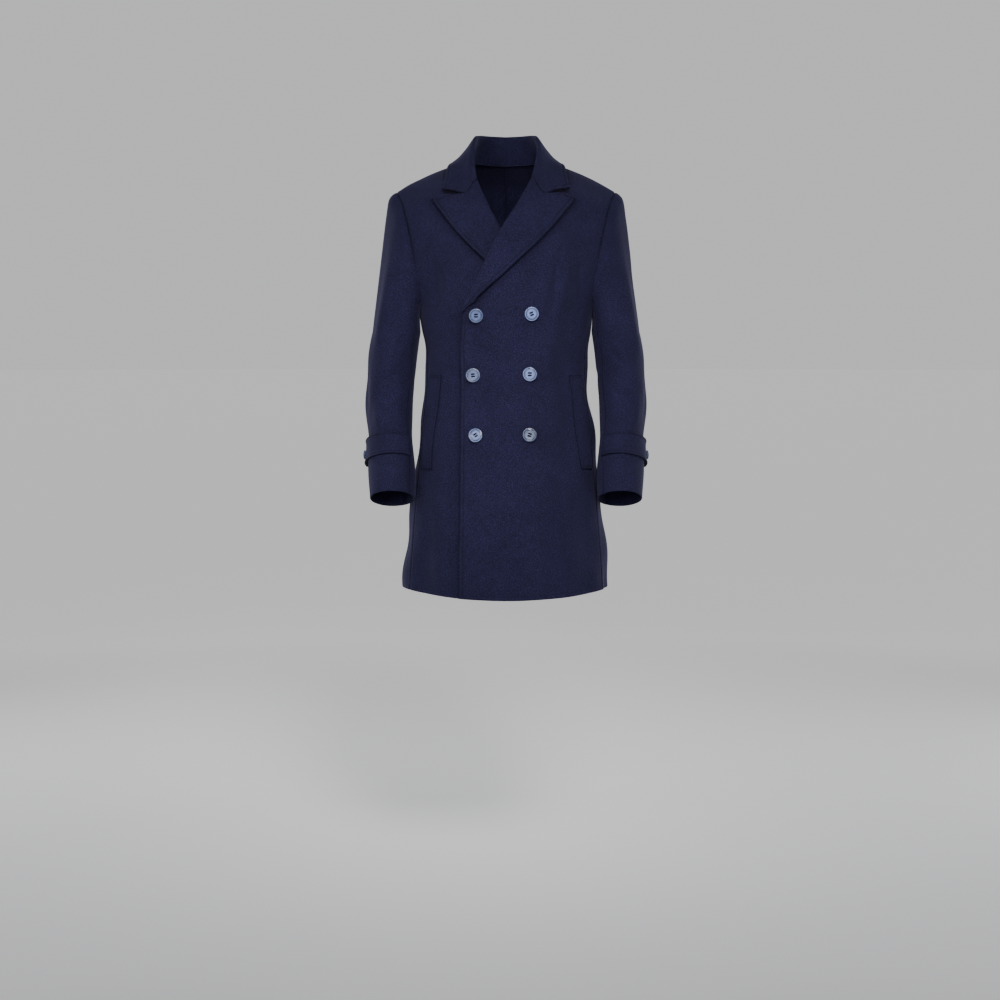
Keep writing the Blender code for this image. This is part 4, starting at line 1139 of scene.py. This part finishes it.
def lapel_sheet(side, sizes):
    """The lapel from the break of the front edge up to its peak, with the fold round the front's edge."""
    gorge, notch = gorge_start(side), NOTCH[side]
    bottom, top = LAPEL_EDGE[0][0], LAPEL_EDGE[-1][0]
    peak = Corner(LAPEL_EDGE[-1][COLUMN[side]], top)
    rise, share = shares(*LAPEL_DENSE)
    z_roll = bottom + (gorge.z - bottom) * rise
    x_roll = -value_at(FRONT_REACH, z_roll, COLUMN[side])
    z_edge = bottom + (top - bottom) * rise ** 0.92
    x_edge = np.maximum(x_roll + LAPEL_LEAST, value_at(LAPEL_EDGE, z_edge, COLUMN[side]))
    bent = smoothstep(*LAPEL_BEND, rise)
    belly = (1 - smoothstep(0.0, 0.75, rise)) * smoothstep(0.0, 0.12, rise)
    roll = LAPEL_ROLL * (1 + LAPEL_BELLY * belly)

    def layer(x, z):
        past = x - value_at(FRONT_REACH, z, COLUMN["left"])
        bare = 1.0 if side == "left" else smoothstep(0.004, 0.030, past)
        return front_lift(side, x, z, sizes.wall) + sizes.wall + LAPEL_CLEAR + roll * bare

    x_top, z_top = (np.interp(share, (0, NOTCH_SHARE, 1), ends) for ends in zip(gorge, notch, peak))
    beyond = np.clip((share - NOTCH_SHARE) / (1 - NOTCH_SHARE), 0, 1)
    z_top = z_top + LAPEL_BOW[side] * np.sin(math.pi * beyond ** 1.6)
    x = x_roll + (x_edge - x_roll) * share
    z = z_roll + (z_edge - z_roll) * share
    x = x + (x_top - x) * bent
    z = z + (z_top - z) * bent
    relief = panel_relief(FRONT_RELIEF, x * SIDES[side], z) * sizes.crease
    swell = LAPEL_SWELL * np.sin(math.pi * share) * smoothstep(0.05, 0.4, rise)
    face, _ = chest(x, z, layer(x, z) + relief + swell)
    turn = np.linspace(CURL_START, CURL_END, CURL_POINTS)
    curl = roll_curl(face, x_roll, z_roll, layer(x_roll, z_roll), relief[:, :1], sizes.wall, turn)
    points = np.concatenate([curl, face], axis=1)
    values = np.concatenate([0 * turn, share[0]])[None, :], rise
    steps = (NARROW_STEPS, FINE_STEPS, NARROW_STEPS, FINE_STEPS)
    sheet = Sheet("wool_lapel_" + side, side, points, values, steps, 1, sizes)
    a, b = sheet.values
    beyond_notch = smoothstep(NOTCH_SHARE - 0.03, NOTCH_SHARE + 0.05, a)
    borders = {
        "right": Border(smoothstep(0.02, 0.10, b), 0),
        "high": Border(beyond_notch, 0.6 * (1 - beyond_notch)),
        "left": PLAIN,
        "low": PLAIN,
    }
    stand = edge_lift(sheet.borders["right"], LEAF_LIFT) * smoothstep(0.03, 0.14, b)
    stand = np.maximum(stand, edge_lift(sheet.borders["high"], PEAK_LIFT) * beyond_notch)
    # painted shadow on the right lapel beside the edge of the left front and lapel over it
    sheet.lay(stand, borders, sizes.inset, lapped_painted_shadow(side, sheet.points[..., 0], sheet.points[..., 2]))
    return sheet


def strap_sheet(side, sizes):
    """The cuff strap: caught in the front seam, round the outside, to a point that stands off."""
    half = STRAP_WIDTH / 2 / RING_STEP
    start = FRONT_SEAM - STRAP_START
    up, share = shares(*STRAP_DENSE)
    across = 2 * up - 1
    taper = 1 - (1 - STRAP_TIP) * np.maximum(0, share - STRAP_STRAIGHT) / (1 - STRAP_STRAIGHT)
    height = STRAP_HEIGHT + half * across * taper
    turn = start + (STRAP_POINT - start) * share + 0 * across
    points, _ = strap_point(turn, height, sizes.wall)
    steps = (NARROW_STEPS, NARROW_STEPS, FINE_STEPS, FINE_STEPS)
    sheet = Sheet("wool_strap_" + side, side, points, (turn, height), steps, -1, sizes)
    a, b = sheet.values
    relief = sleeve_relief(side, a, b) * sizes.crease * cuff_fade(b)
    for border, lift in STRAP_LIFTS.items():
        relief = relief + edge_lift(sheet.borders[border], lift)
    sheet.lay(relief, {"low": STITCHED, "high": STITCHED, "right": PLAIN, "left": PLAIN}, sizes.strap_inset)
    return sheet


def welt_sheet(side, sizes):
    share, across = shares(*WELT_DENSE)
    x = WELT_BOTTOM.x + (WELT_TOP.x - WELT_BOTTOM.x) * share + WELT_WIDTH * across
    z = WELT_BOTTOM.z + (WELT_TOP.z - WELT_BOTTOM.z) * share + 0 * across
    relief = panel_relief(FRONT_RELIEF, x * SIDES[side], z) * sizes.crease
    points, _ = chest(x, z, front_lift(side, x, z, sizes.wall) + sizes.wall + LAYER_GAP + relief)
    sheet = Sheet("wool_welt_" + side, side, points, (x, z), 4 * (NARROW_STEPS,), 1, sizes)
    borders = {"left": Border(0.7, 0), "right": Border(0.25, 0), "low": STITCHED, "high": STITCHED}
    sheet.lay(np.zeros(sheet.points.shape[:2]), borders, sizes.strap_inset)
    return sheet


# ---- Stitches and buttons -------------------------------------------------------------------------------


def join(name, objects):
    deselect_all()
    for obj in objects:
        obj.select_set(True)
    bpy.context.view_layer.objects.active = objects[0]
    if len(objects) > 1:
        bpy.ops.object.join()
    joined = bpy.context.view_layer.objects.active
    bpy.ops.object.transform_apply(location=True, rotation=True, scale=True)
    joined.name = joined.data.name = name
    return joined


def placed_copy(source, matrix):
    copy = bpy.data.objects.new(source.name, source.data.copy())
    bpy.context.scene.collection.objects.link(copy)
    copy.matrix_world = matrix
    return copy


def frame_matrix(place, along, normal):
    """A matrix that puts x along a line and z out along its normal, at a place."""
    x = Vector(along).normalized()
    z = (Vector(normal) - x * Vector(normal).dot(x)).normalized()
    y = z.cross(x)
    matrix = Matrix((x, y, z)).transposed().to_4x4()
    matrix.translation = Vector(place)
    return matrix


def model_stitch(sizes):
    """One stitch of topstitching: a short thread, tapered where it dives into the cloth."""
    deselect_all()
    bpy.ops.mesh.primitive_uv_sphere_add(segments=6, ring_count=5, radius=1)
    stitch = bpy.context.object
    stitch.scale = (sizes.thread / 2, sizes.thread / 2, sizes.stitch / 2)
    bpy.ops.object.transform_apply(location=False, rotation=False, scale=True)
    stitch.rotation_euler = (0, math.radians(90), 0)
    bpy.ops.object.transform_apply(location=False, rotation=True, scale=False)
    bpy.ops.object.shade_smooth()
    return stitch


def stitch_places(path, sizes):
    """Matrices for stitches at an even pitch along a path of points and normals."""
    along = running_length(path)
    pitch = sizes.stitch * STITCH_PITCH
    matrices = []
    for reached in np.arange(pitch / 2, along[-1] - pitch / 2, pitch):
        values = [np.interp(reached, along, column) for column in path.T]
        ends = [[np.interp(reached + step, along, path[:, k]) for k in range(3)] for step in (-MM, MM)]
        normal = unit(np.array(values[3:]))
        place = np.array(values[:3]) + normal * STITCH_RISE
        matrices.append(frame_matrix(place, np.array(ends[1]) - np.array(ends[0]), normal))
    return matrices


def add_stitches(name, paths, material, sizes):
    source = model_stitch(sizes)
    copies = [placed_copy(source, matrix) for path in paths for matrix in stitch_places(path, sizes)]
    bpy.data.objects.remove(source, do_unlink=True)
    stitches = join(name, copies)
    stitches.data.materials.clear()
    stitches.data.materials.append(material)
    return stitches


def select_faces(obj, wanted):
    """Select the faces whose middle and normal pass a test, in edit mode."""
    bpy.ops.object.mode_set(mode="EDIT")
    bpy.ops.mesh.select_all(action="DESELECT")
    bpy.ops.object.mode_set(mode="OBJECT")
    for face in obj.data.polygons:
        face.select = wanted(face.center, face.normal)
    bpy.ops.object.mode_set(mode="EDIT")


def model_button(radius, height):
    """A glossy turned button: a rounded rim, two turned rings, a flat middle and four holes."""
    deselect_all()
    side = height * BUTTON_EDGE
    bpy.ops.mesh.primitive_cylinder_add(vertices=64, radius=radius, depth=side, location=(0, 0, side / 2))
    bpy.ops.object.transform_apply(location=True)
    button = bpy.context.object
    bpy.context.tool_settings.mesh_select_mode = (False, False, True)
    select_faces(button, lambda middle, normal: normal.z < -0.9)
    bpy.ops.transform.resize(value=(BUTTON_BACK, BUTTON_BACK, 1))
    select_faces(button, lambda middle, normal: normal.z > 0.9)
    for across, up in BUTTON_PROFILE:
        bpy.ops.mesh.inset(thickness=radius * across, depth=height * up)
    bpy.ops.object.mode_set(mode="OBJECT")
    holes = []
    reach = radius * HOLE_REACH
    for x in (-reach, reach):
        for y in (-reach, reach):
            deselect_all()
            bpy.ops.mesh.primitive_cylinder_add(
                vertices=16, radius=radius * HOLE_RADIUS, depth=4 * height, location=(x, y, 0)
            )
            holes.append(bpy.context.object)
    cutter = join("thread_holes", holes)
    cut = button.modifiers.new("thread_holes", "BOOLEAN")
    cut.operation = "DIFFERENCE"
    cut.object = cutter
    apply_modifiers(button)
    bpy.data.objects.remove(cutter, do_unlink=True)
    make_active(button)
    bpy.ops.object.shade_smooth_by_angle(angle=math.radians(SHARP_ANGLE))
    return button


def paint_button_tone_and_shade(button, radius, tone):
    """Store each point's tone and painted shade: the button's own tone, painted shadow at the rim, painted
    shade in the rings.
    """
    points = np.empty(len(button.data.vertices) * 3, np.float32)
    button.data.vertices.foreach_get("co", points)
    x, y, z = points.reshape(-1, 3).T
    place = np.hypot(x, y) / radius
    tone_and_painted_shade = np.full(len(place), tone)
    # painted shade in the turned rings, and painted shadow round the rim
    for low, high in BUTTON_RINGS:
        inside = (place > low) & (place < high) & (z > FACE_HEIGHT * radius)
        tone_and_painted_shade = np.where(inside, tone * RING_PAINTED_SHADE, tone_and_painted_shade)
    tone_and_painted_shade = np.where(place > RIM_PLACE, tone * RIM_PAINTED_SHADOW, tone_and_painted_shade)
    store_tone_and_painted_shade(button, tone_and_painted_shade)


def model_button_thread(radius, height):
    """The thread that holds a button: two bars across each pair of holes, and the shank behind."""
    reach = radius * HOLE_REACH
    parts = []
    for y in (-reach, reach):
        for share in (-0.5, 0.5):
            deselect_all()
            place = (0, y + share * radius * BAR_GAP, height * BAR_HEIGHT)
            bpy.ops.mesh.primitive_uv_sphere_add(segments=12, ring_count=8, radius=1, location=place)
            bar = bpy.context.object
            bar.scale = (reach * BAR_LENGTH, radius * BAR_SIZES[0], radius * BAR_SIZES[1])
            parts.append(bar)
    deselect_all()
    depth = height * 0.7 + BUTTON_SHANK
    place = (0, 0, depth / 2 - BUTTON_SHANK * 1.5)
    width = radius * SHANK_RADIUS
    bpy.ops.mesh.primitive_cylinder_add(vertices=20, radius=width, depth=depth, location=place)
    parts.append(bpy.context.object)
    thread = join("button_thread", parts)
    bpy.ops.object.shade_smooth()
    return thread


def chest_button_places(sizes):
    """Where the six front buttons lie, with the normal of the cloth under each."""
    places = []
    for (x, z), degrees in zip(BUTTON_PLACES, BUTTON_TURN):
        relief = panel_relief(FRONT_RELIEF, x, z) * sizes.crease
        lift = overlap_lift(x, z, sizes.wall) + BUTTON_SHANK + relief
        place, normal = chest(np.array(x), np.array(z), lift)
        turn = math.radians(degrees)
        places.append((place, normal, (math.cos(turn), 0, math.sin(turn))))
    return places


def cuff_button_place(side, sizes):
    turn, height = np.array(CUFF_BUTTON_ANGLE, float), np.array(STRAP_HEIGHT)
    surface, _ = strap_point(turn, height, sizes.wall)

    def strap_face(a, b):
        return strap_point(a, b, sizes.wall)[0]

    normal = -normal_of(strap_face, turn, height, 0.5)
    if normal[0] < 0:
        normal = -normal
    relief = sleeve_relief(side, turn, height) * sizes.crease
    place = surface + normal * (BUTTON_SHANK + relief)
    flipped = np.array((SIDES[side], 1, 1))
    return place * flipped, normal * flipped, (0, 0, -1)


# ---- Materials ------------------------------------------------------------------------------------------


def fill_inputs(tree, node, inputs):
    """Give each named input of a node its value, or join it to another node's output."""
    for name, value in inputs.items():
        if isinstance(value, bpy.types.NodeSocket):
            tree.links.new(value, node.inputs[name])
        else:
            node.inputs[name].default_value = value


def add_node(tree, kind, output, inputs=None, **settings):
    """Add a shader node with its settings and inputs, and return one of its outputs."""
    node = tree.nodes.new("ShaderNode" + kind)
    for name, value in settings.items():
        setattr(node, name, value)
    fill_inputs(tree, node, inputs or {})
    return node.outputs[output]


def add_noise(tree, place, size, detail, **others):
    inputs = {"Vector": place, "Scale": 1 / size, "Detail": detail, **others}
    return add_node(tree, "TexNoise", "Fac", inputs)


def remap(tree, value, low, high, start=0.3, end=0.7):
    """Spread a value over a range. Most noise lies between 0.3 and 0.7."""
    inputs = {"Value": value, "From Min": start, "From Max": end, "To Min": low, "To Max": high}
    return add_node(tree, "MapRange", "Result", inputs)


def add_ramp(tree, value, stops):
    """A ramp through stops, each a position and a colour."""
    colour = add_node(tree, "ValToRGB", "Color", {"Fac": value})
    elements = colour.node.color_ramp.elements
    elements.remove(elements[1])
    elements[0].position, elements[0].color = stops[0]
    for position, stop in stops[1:]:
        elements.new(position).color = stop
    return colour


def add_tint(tree, colour, value):
    return add_node(tree, "HueSaturation", "Color", {"Color": colour, "Value": value})


def with_stored_tone_and_painted_shade(tree, tone):
    """A tone multiplied by the tone and painted shade stored on the points."""
    tone_and_painted_shade = add_node(tree, "Attribute", "Fac", attribute_name="tone_and_painted_shade")
    return add_node(tree, "Math", "Value", {0: tone, 1: tone_and_painted_shade}, operation="MULTIPLY")


def add_bump(tree, height, distance, strength, **others):
    inputs = {"Height": height, "Distance": distance, "Strength": strength, **others}
    return add_node(tree, "Bump", "Normal", inputs)


def new_material(name):
    """A material, its nodes, its shader and the place on its object, in metres."""
    material = bpy.data.materials.new(name)
    material.use_nodes = True
    tree = material.node_tree
    return material, tree, tree.nodes["Principled BSDF"], add_node(tree, "TexCoord", "Object")


def make_melton(name, colours):
    """Wool melton: a dense, brushed navy cloth with a short nap, lighter and darker fibres and no gloss.
    Painted shade darkens it.
    """
    material, tree, shader, place = new_material(name)
    clouds = add_noise(tree, place, 0.060, 2.0)
    nap = add_noise(tree, place, 0.0018, 2.0, Roughness=0.6)
    fibres = add_noise(tree, place, 0.0007, 2.0, Roughness=0.7)
    speckle = add_node(tree, "Math", "Value", {0: nap, 1: 0.55, 2: fibres}, operation="MULTIPLY_ADD")
    stops = (0.0, (*colours.cloth_dark, 1)), (0.5, (*colours.cloth, 1)), (1.0, (*colours.cloth_light, 1))
    wool = add_ramp(tree, remap(tree, speckle, 0.0, 1.0, 0.52, 1.03), stops)
    # random tone of the cloth, times the painted shade stored on the points
    tone_and_painted_shade = with_stored_tone_and_painted_shade(tree, remap(tree, clouds, 0.90, 1.10))
    deep = add_bump(tree, nap, 0.0004, 0.30)
    fill_inputs(tree, shader, {
        "Base Color": add_tint(tree, wool, tone_and_painted_shade),
        "Normal": add_bump(tree, fibres, 0.0002, 0.30, Normal=deep),
        "Roughness": 0.95,
        "Specular IOR Level": 0.12,
        "Sheen Weight": 0.12,
        "Sheen Roughness": 0.45,
        "Sheen Tint": linear(SHEEN_COLOUR),
    })
    return material


def make_button_plastic(name, colours):
    """Polished slate-blue polyester resin, a little cloudy like horn. Each button's tone and painted shade
    are stored on its points.
    """
    material, tree, shader, place = new_material(name)
    clouds = add_noise(tree, place, 0.009, 3.0, Distortion=0.6)
    scratches = add_noise(tree, place, 0.0012, 2.0)
    # random tone of the resin, times each button's tone and painted shade stored on the points
    tone_and_painted_shade = with_stored_tone_and_painted_shade(tree, remap(tree, clouds, 0.82, 1.16))
    fill_inputs(tree, shader, {
        "Base Color": add_tint(tree, (*colours.button, 1), tone_and_painted_shade),
        "Roughness": remap(tree, scratches, 0.24, 0.34),
        "Coat Weight": 0.08,
        "Coat Roughness": 0.12,
        "IOR": 1.45,
    })
    return material


def make_thread(name, colours):
    """Navy polyester sewing thread with a fine twist."""
    material, tree, shader, place = new_material(name)
    twist = add_noise(tree, place, 0.0005, 1.0)
    fill_inputs(tree, shader, {
        "Base Color": add_tint(tree, (*colours.thread, 1), remap(tree, twist, 0.75, 1.25)),
        "Normal": add_bump(tree, twist, 0.0001, 0.4),
        "Roughness": 0.8,
        "Specular IOR Level": 0.2,
    })
    return material


def make_floor(name, colours):
    """Matt pale studio floor. Away from the coat it glows like a lit backdrop, up to the tone of the wall."""
    material, tree, shader, place = new_material(name)
    grain = add_noise(tree, place, 1.25, 2.0)
    reach = add_node(tree, "VectorMath", "Value", {"Vector": place}, operation="LENGTH")
    fill_inputs(tree, shader, {
        "Base Color": add_tint(tree, (*colours.floor, 1), remap(tree, grain, 0.99, 1.01)),
        "Emission Color": remap(tree, reach, 0.0, FLOOR_GLOW, *GLOW_REACH),
        "Emission Strength": 1.0,
        "Roughness": 0.9,
    })
    return material


MATERIALS = {
    "melton": ("navy_wool_melton", make_melton),
    "button": ("polished_slate_blue_resin", make_button_plastic),
    "thread": ("navy_sewing_thread", make_thread),
    "floor": ("pale_studio_floor", make_floor),
}


def material_of(kind, context):
    """The finish of that kind, made the first time that a piece needs it."""
    name, make = MATERIALS[kind]
    return bpy.data.materials.get(name) or make(name, context.scene.pea_coat_colours)


# ---- Add-on ---------------------------------------------------------------------------------------------


class PeaCoatSizes(bpy.types.PropertyGroup):
    wall: FloatProperty(
        name="Cloth thickness", description="Thickness of each cloth piece", default=0.0025, unit="LENGTH"
    )
    step: FloatProperty(
        name="Mesh step", description="Distance between two points of the cloth away from its borders",
        default=0.0045, unit="LENGTH",
    )
    inset: FloatProperty(
        name="Topstitching",
        description="Distance of the topstitching from the edges of fronts, lapels and collar",
        default=0.0080, unit="LENGTH",
    )
    strap_inset: FloatProperty(
        name="Trim stitching",
        description="Distance of the stitching from the edges of cuff straps and pocket welts",
        default=0.0050, unit="LENGTH",
    )
    stitch: FloatProperty(
        name="Stitch length", description="Length of one stitch", default=0.0034, unit="LENGTH"
    )
    thread: FloatProperty(
        name="Thread", description="Thickness of the sewing thread", default=0.00055, unit="LENGTH"
    )
    crease: FloatProperty(
        name="Creases", description="How strong the creases and waves of the cloth are",
        default=1.6, min=0.0, max=2.5, subtype="FACTOR",
    )


class PeaCoatColours(bpy.types.PropertyGroup):
    cloth: FloatVectorProperty(
        name="Cloth", description="Main colour of the melton",
        default=linear(CLOTH_COLOUR)[:3], subtype="COLOR",
    )
    cloth_light: FloatVectorProperty(
        name="Light fibres", description="Colour of the lighter fibres of the nap",
        default=linear(CLOTH_LIGHT_COLOUR)[:3], subtype="COLOR",
    )
    cloth_dark: FloatVectorProperty(
        name="Dark fibres", description="Colour between the fibres of the nap",
        default=linear(CLOTH_DARK_COLOUR)[:3], subtype="COLOR",
    )
    button: FloatVectorProperty(
        name="Buttons", description="Colour of the buttons",
        default=linear(BUTTON_COLOUR)[:3], subtype="COLOR",
    )
    thread: FloatVectorProperty(
        name="Thread", description="Colour of the sewing thread",
        default=linear(THREAD_COLOUR)[:3], subtype="COLOR",
    )
    floor: FloatVectorProperty(
        name="Floor", description="Colour of the studio floor",
        default=linear(FLOOR_COLOUR)[:3], subtype="COLOR",
    )


def finish_sheet(sheet, node, context):
    """Build a sheet and hand it to the frame in place of its solid."""
    obj = sheet.build(material_of("melton", context))
    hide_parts(node)
    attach(obj, "root")
    round(sheet.area(), 5)
    return obj


def finish_stitches(name, paths, context):
    sizes = context.scene.pea_coat_sizes
    stitches = add_stitches(name, paths, material_of("thread", context), sizes)
    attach(stitches, "root")
    return stitches


class PEACOAT_OT_fronts(bpy.types.Operator):
    """Add both fronts, lapped left over right, with their stitched front edge"""

    bl_idname = "pea_coat.fronts"
    bl_label = "Fronts"

    def execute(self, context):
        sizes = context.scene.pea_coat_sizes
        for side in SIDES:
            sheet = front_sheet(side, sizes)
            finish_sheet(sheet, "front_" + side, context)
            if side == "left":
                path = sheet.seam_path("left", sizes.inset, (2 * MM, 0.0), STITCH_TOP)
                finish_stitches("stitches_front_left", [path], context)
        return {"FINISHED"}


class PEACOAT_OT_backs(bpy.types.Operator):
    """Add both halves of the back"""

    bl_idname = "pea_coat.backs"
    bl_label = "Backs"

    def execute(self, context):
        for side in SIDES:
            finish_sheet(back_sheet(side, context.scene.pea_coat_sizes), "back_" + side, context)
        return {"FINISHED"}


class PEACOAT_OT_sleeves(bpy.types.Operator):
    """Add the two-piece sleeves"""

    bl_idname = "pea_coat.sleeves"
    bl_label = "Sleeves"

    def execute(self, context):
        for side in SIDES:
            for part in ("top", "under"):
                sheet = sleeve_sheet(part, side, context.scene.pea_coat_sizes)
                finish_sheet(sheet, f"sleeve_{part}_{side}", context)
        return {"FINISHED"}


class PEACOAT_OT_collar(bpy.types.Operator):
    """Add the collar with its stitched edge"""

    bl_idname = "pea_coat.collar"
    bl_label = "Collar"

    def execute(self, context):
        sizes = context.scene.pea_coat_sizes
        sheet = collar_sheet(sizes)
        finish_sheet(sheet, "collar", context)
        leaf = LEAF_TIP["left"].x - NOTCH["left"].x
        total = float(sheet.borders["high"][0].mean())
        trim = (total - leaf, sizes.inset)
        paths = [sheet.seam_path("high", sizes.inset, (sizes.inset, sizes.inset))]
        paths += [sheet.seam_path(border, sizes.inset * 0.8, trim) for border in ("left", "right")]
        finish_stitches("stitches_collar", paths, context)
        return {"FINISHED"}


class PEACOAT_OT_lapels(bpy.types.Operator):
    """Add the peak lapels with their stitched edges"""

    bl_idname = "pea_coat.lapels"
    bl_label = "Lapels"

    def execute(self, context):
        sizes = context.scene.pea_coat_sizes
        for side in SIDES:
            sheet = lapel_sheet(side, sizes)
            finish_sheet(sheet, "lapel_" + side, context)
            edge = sheet.seam_path("right", sizes.inset, (12 * MM, sizes.inset))
            top = sheet.seam_path("high", sizes.inset)
            beyond = np.abs(top[:, 0]) > NOTCH[side].x + 3 * MM
            inner = np.abs(top[:, 0]) < LAPEL_EDGE[-1][COLUMN[side]] - sizes.inset * 1.3
            finish_stitches("stitches_lapel_" + side, [edge, top[beyond & inner]], context)
        return {"FINISHED"}


class PEACOAT_OT_trims(bpy.types.Operator):
    """Add the cuff straps and the pocket welts with their stitching"""

    bl_idname = "pea_coat.trims"
    bl_label = "Cuff Straps and Welts"

    def execute(self, context):
        sizes = context.scene.pea_coat_sizes
        for side in SIDES:
            strap = strap_sheet(side, sizes)
            finish_sheet(strap, "cuff_strap_" + side, context)
            welt = welt_sheet(side, sizes)
            finish_sheet(welt, "pocket_welt_" + side, context)
            ends = ("low", "high")
            paths = [strap.seam_path(border, sizes.strap_inset, (2 * MM, 12 * MM)) for border in ends]
            for border in ends:
                for inset in (WELT_EDGE_INSET, sizes.strap_inset):
                    paths.append(welt.seam_path(border, inset, (MM, MM)))
            finish_stitches("stitches_trims_" + side, paths, context)
        return {"FINISHED"}


class PEACOAT_OT_buttons(bpy.types.Operator):
    """Add the six front buttons and the two cuff buttons, with their thread"""

    bl_idname = "pea_coat.buttons"
    bl_label = "Buttons"

    def execute(self, context):
        sizes = context.scene.pea_coat_sizes
        front, cuff = (
            (model_button(radius, height), model_button_thread(radius, height))
            for radius, height in ((BUTTON_RADIUS, BUTTON_HEIGHT), (CUFF_BUTTON_RADIUS, CUFF_BUTTON_HEIGHT))
        )
        buttons = []
        for i, place in enumerate(chest_button_places(sizes)):
            buttons.append((f"front_button_{i + 1}", front, BUTTON_TONE[i], *place))
        for side in SIDES:
            buttons.append((f"cuff_button_{side}", cuff, CUFF_BUTTON_TONE, *cuff_button_place(side, sizes)))
        for node, (button, thread), tone, place, normal, along in buttons:
            matrix = frame_matrix(place, along, normal)
            paint_button_tone_and_shade(button, max(button.dimensions.xy) / 2, tone)
            for source, kind, name in ((button, "button", "resin_"), (thread, "thread", "thread_")):
                piece = join(name + node, [placed_copy(source, matrix)])
                piece.data.materials.clear()
                piece.data.materials.append(material_of(kind, context))
                if kind == "button":
                    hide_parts(node)
                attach(piece, "root")
        for source in front + cuff:
            bpy.data.objects.remove(source, do_unlink=True)
        return {"FINISHED"}


def add_light(name, place, aim, size, power, colour, spread):
    deselect_all()
    bpy.ops.object.light_add(type="AREA", location=place)
    light = bpy.context.object
    light.name = name
    light.rotation_euler = (Vector(aim) - Vector(place)).to_track_quat("-Z", "Y").to_euler()
    light.data.shape = "RECTANGLE"
    light.data.size, light.data.size_y = size
    light.data.energy = power
    light.data.color = colour
    light.data.spread = math.radians(spread)
    return light


class PEACOAT_OT_stage(bpy.types.Operator):
    """Add the camera, the soft studio light and a plain pale floor"""

    bl_idname = "pea_coat.stage"
    bl_label = "Stage"

    def execute(self, context):
        deselect_all()
        bpy.ops.mesh.primitive_circle_add(
            vertices=96, radius=FLOOR_RADIUS, fill_type="NGON", location=(0, 0, FLOOR_HEIGHT)
        )
        floor = bpy.context.object
        floor.name = "studio_floor"
        floor.data.materials.append(material_of("floor", context))
        bpy.ops.object.camera_add(location=CAMERA_EYE)
        camera = bpy.context.object
        away = CAMERA_AIM - CAMERA_EYE
        camera.rotation_euler = away.to_track_quat("-Z", "Y").to_euler()
        camera.data.angle = 2 * math.atan(VIEW_WIDTH / 2 / away.length)
        context.scene.camera = camera
        for light in LIGHTS:
            add_light(*light)
        world = bpy.data.worlds.new("studio_light")
        world.use_nodes = True
        tree = world.node_tree
        ray = add_node(tree, "TexCoord", "Generated")
        height = add_node(tree, "SeparateXYZ", "Z", {"Vector": ray})
        sky = add_ramp(tree, height, [(place, (value, value, value, 1)) for place, value in SKY])
        fill_inputs(tree, tree.nodes["Background"], {"Color": SKY_COLOUR, "Strength": sky})
        context.scene.world = world
        return {"FINISHED"}


OPERATORS = (
    PEACOAT_OT_stage,
    PEACOAT_OT_fronts,
    PEACOAT_OT_backs,
    PEACOAT_OT_sleeves,
    PEACOAT_OT_collar,
    PEACOAT_OT_lapels,
    PEACOAT_OT_trims,
    PEACOAT_OT_buttons,
)


class PEACOAT_PT_panel(bpy.types.Panel):
    """Sizes, colours and pieces of the pea coat"""

    bl_idname = "PEACOAT_PT_panel"
    bl_label = "Pea Coat"
    bl_space_type = "VIEW_3D"
    bl_region_type = "UI"
    bl_category = "Pea Coat"

    def draw(self, context):
        layout = self.layout
        for group in (context.scene.pea_coat_sizes, context.scene.pea_coat_colours):
            column = layout.column(align=True)
            for name in group.__annotations__:
                column.prop(group, name)
        for operator in OPERATORS:
            layout.operator(operator.bl_idname)


CLASSES = (PeaCoatSizes, PeaCoatColours) + OPERATORS + (PEACOAT_PT_panel,)


def register():
    for item in CLASSES:
        bpy.utils.register_class(item)
    bpy.types.Scene.pea_coat_sizes = PointerProperty(type=PeaCoatSizes)
    bpy.types.Scene.pea_coat_colours = PointerProperty(type=PeaCoatColours)


def unregister():
    del bpy.types.Scene.pea_coat_sizes
    del bpy.types.Scene.pea_coat_colours
    for item in reversed(CLASSES):
        bpy.utils.unregister_class(item)


def main():
    register()
    bpy.ops.pea_coat.stage()
    bpy.ops.pea_coat.fronts()
    bpy.ops.pea_coat.backs()
    bpy.ops.pea_coat.sleeves()
    bpy.ops.pea_coat.collar()
    bpy.ops.pea_coat.lapels()
    bpy.ops.pea_coat.trims()
    bpy.ops.pea_coat.buttons()


if __name__ == "__main__":
    main()
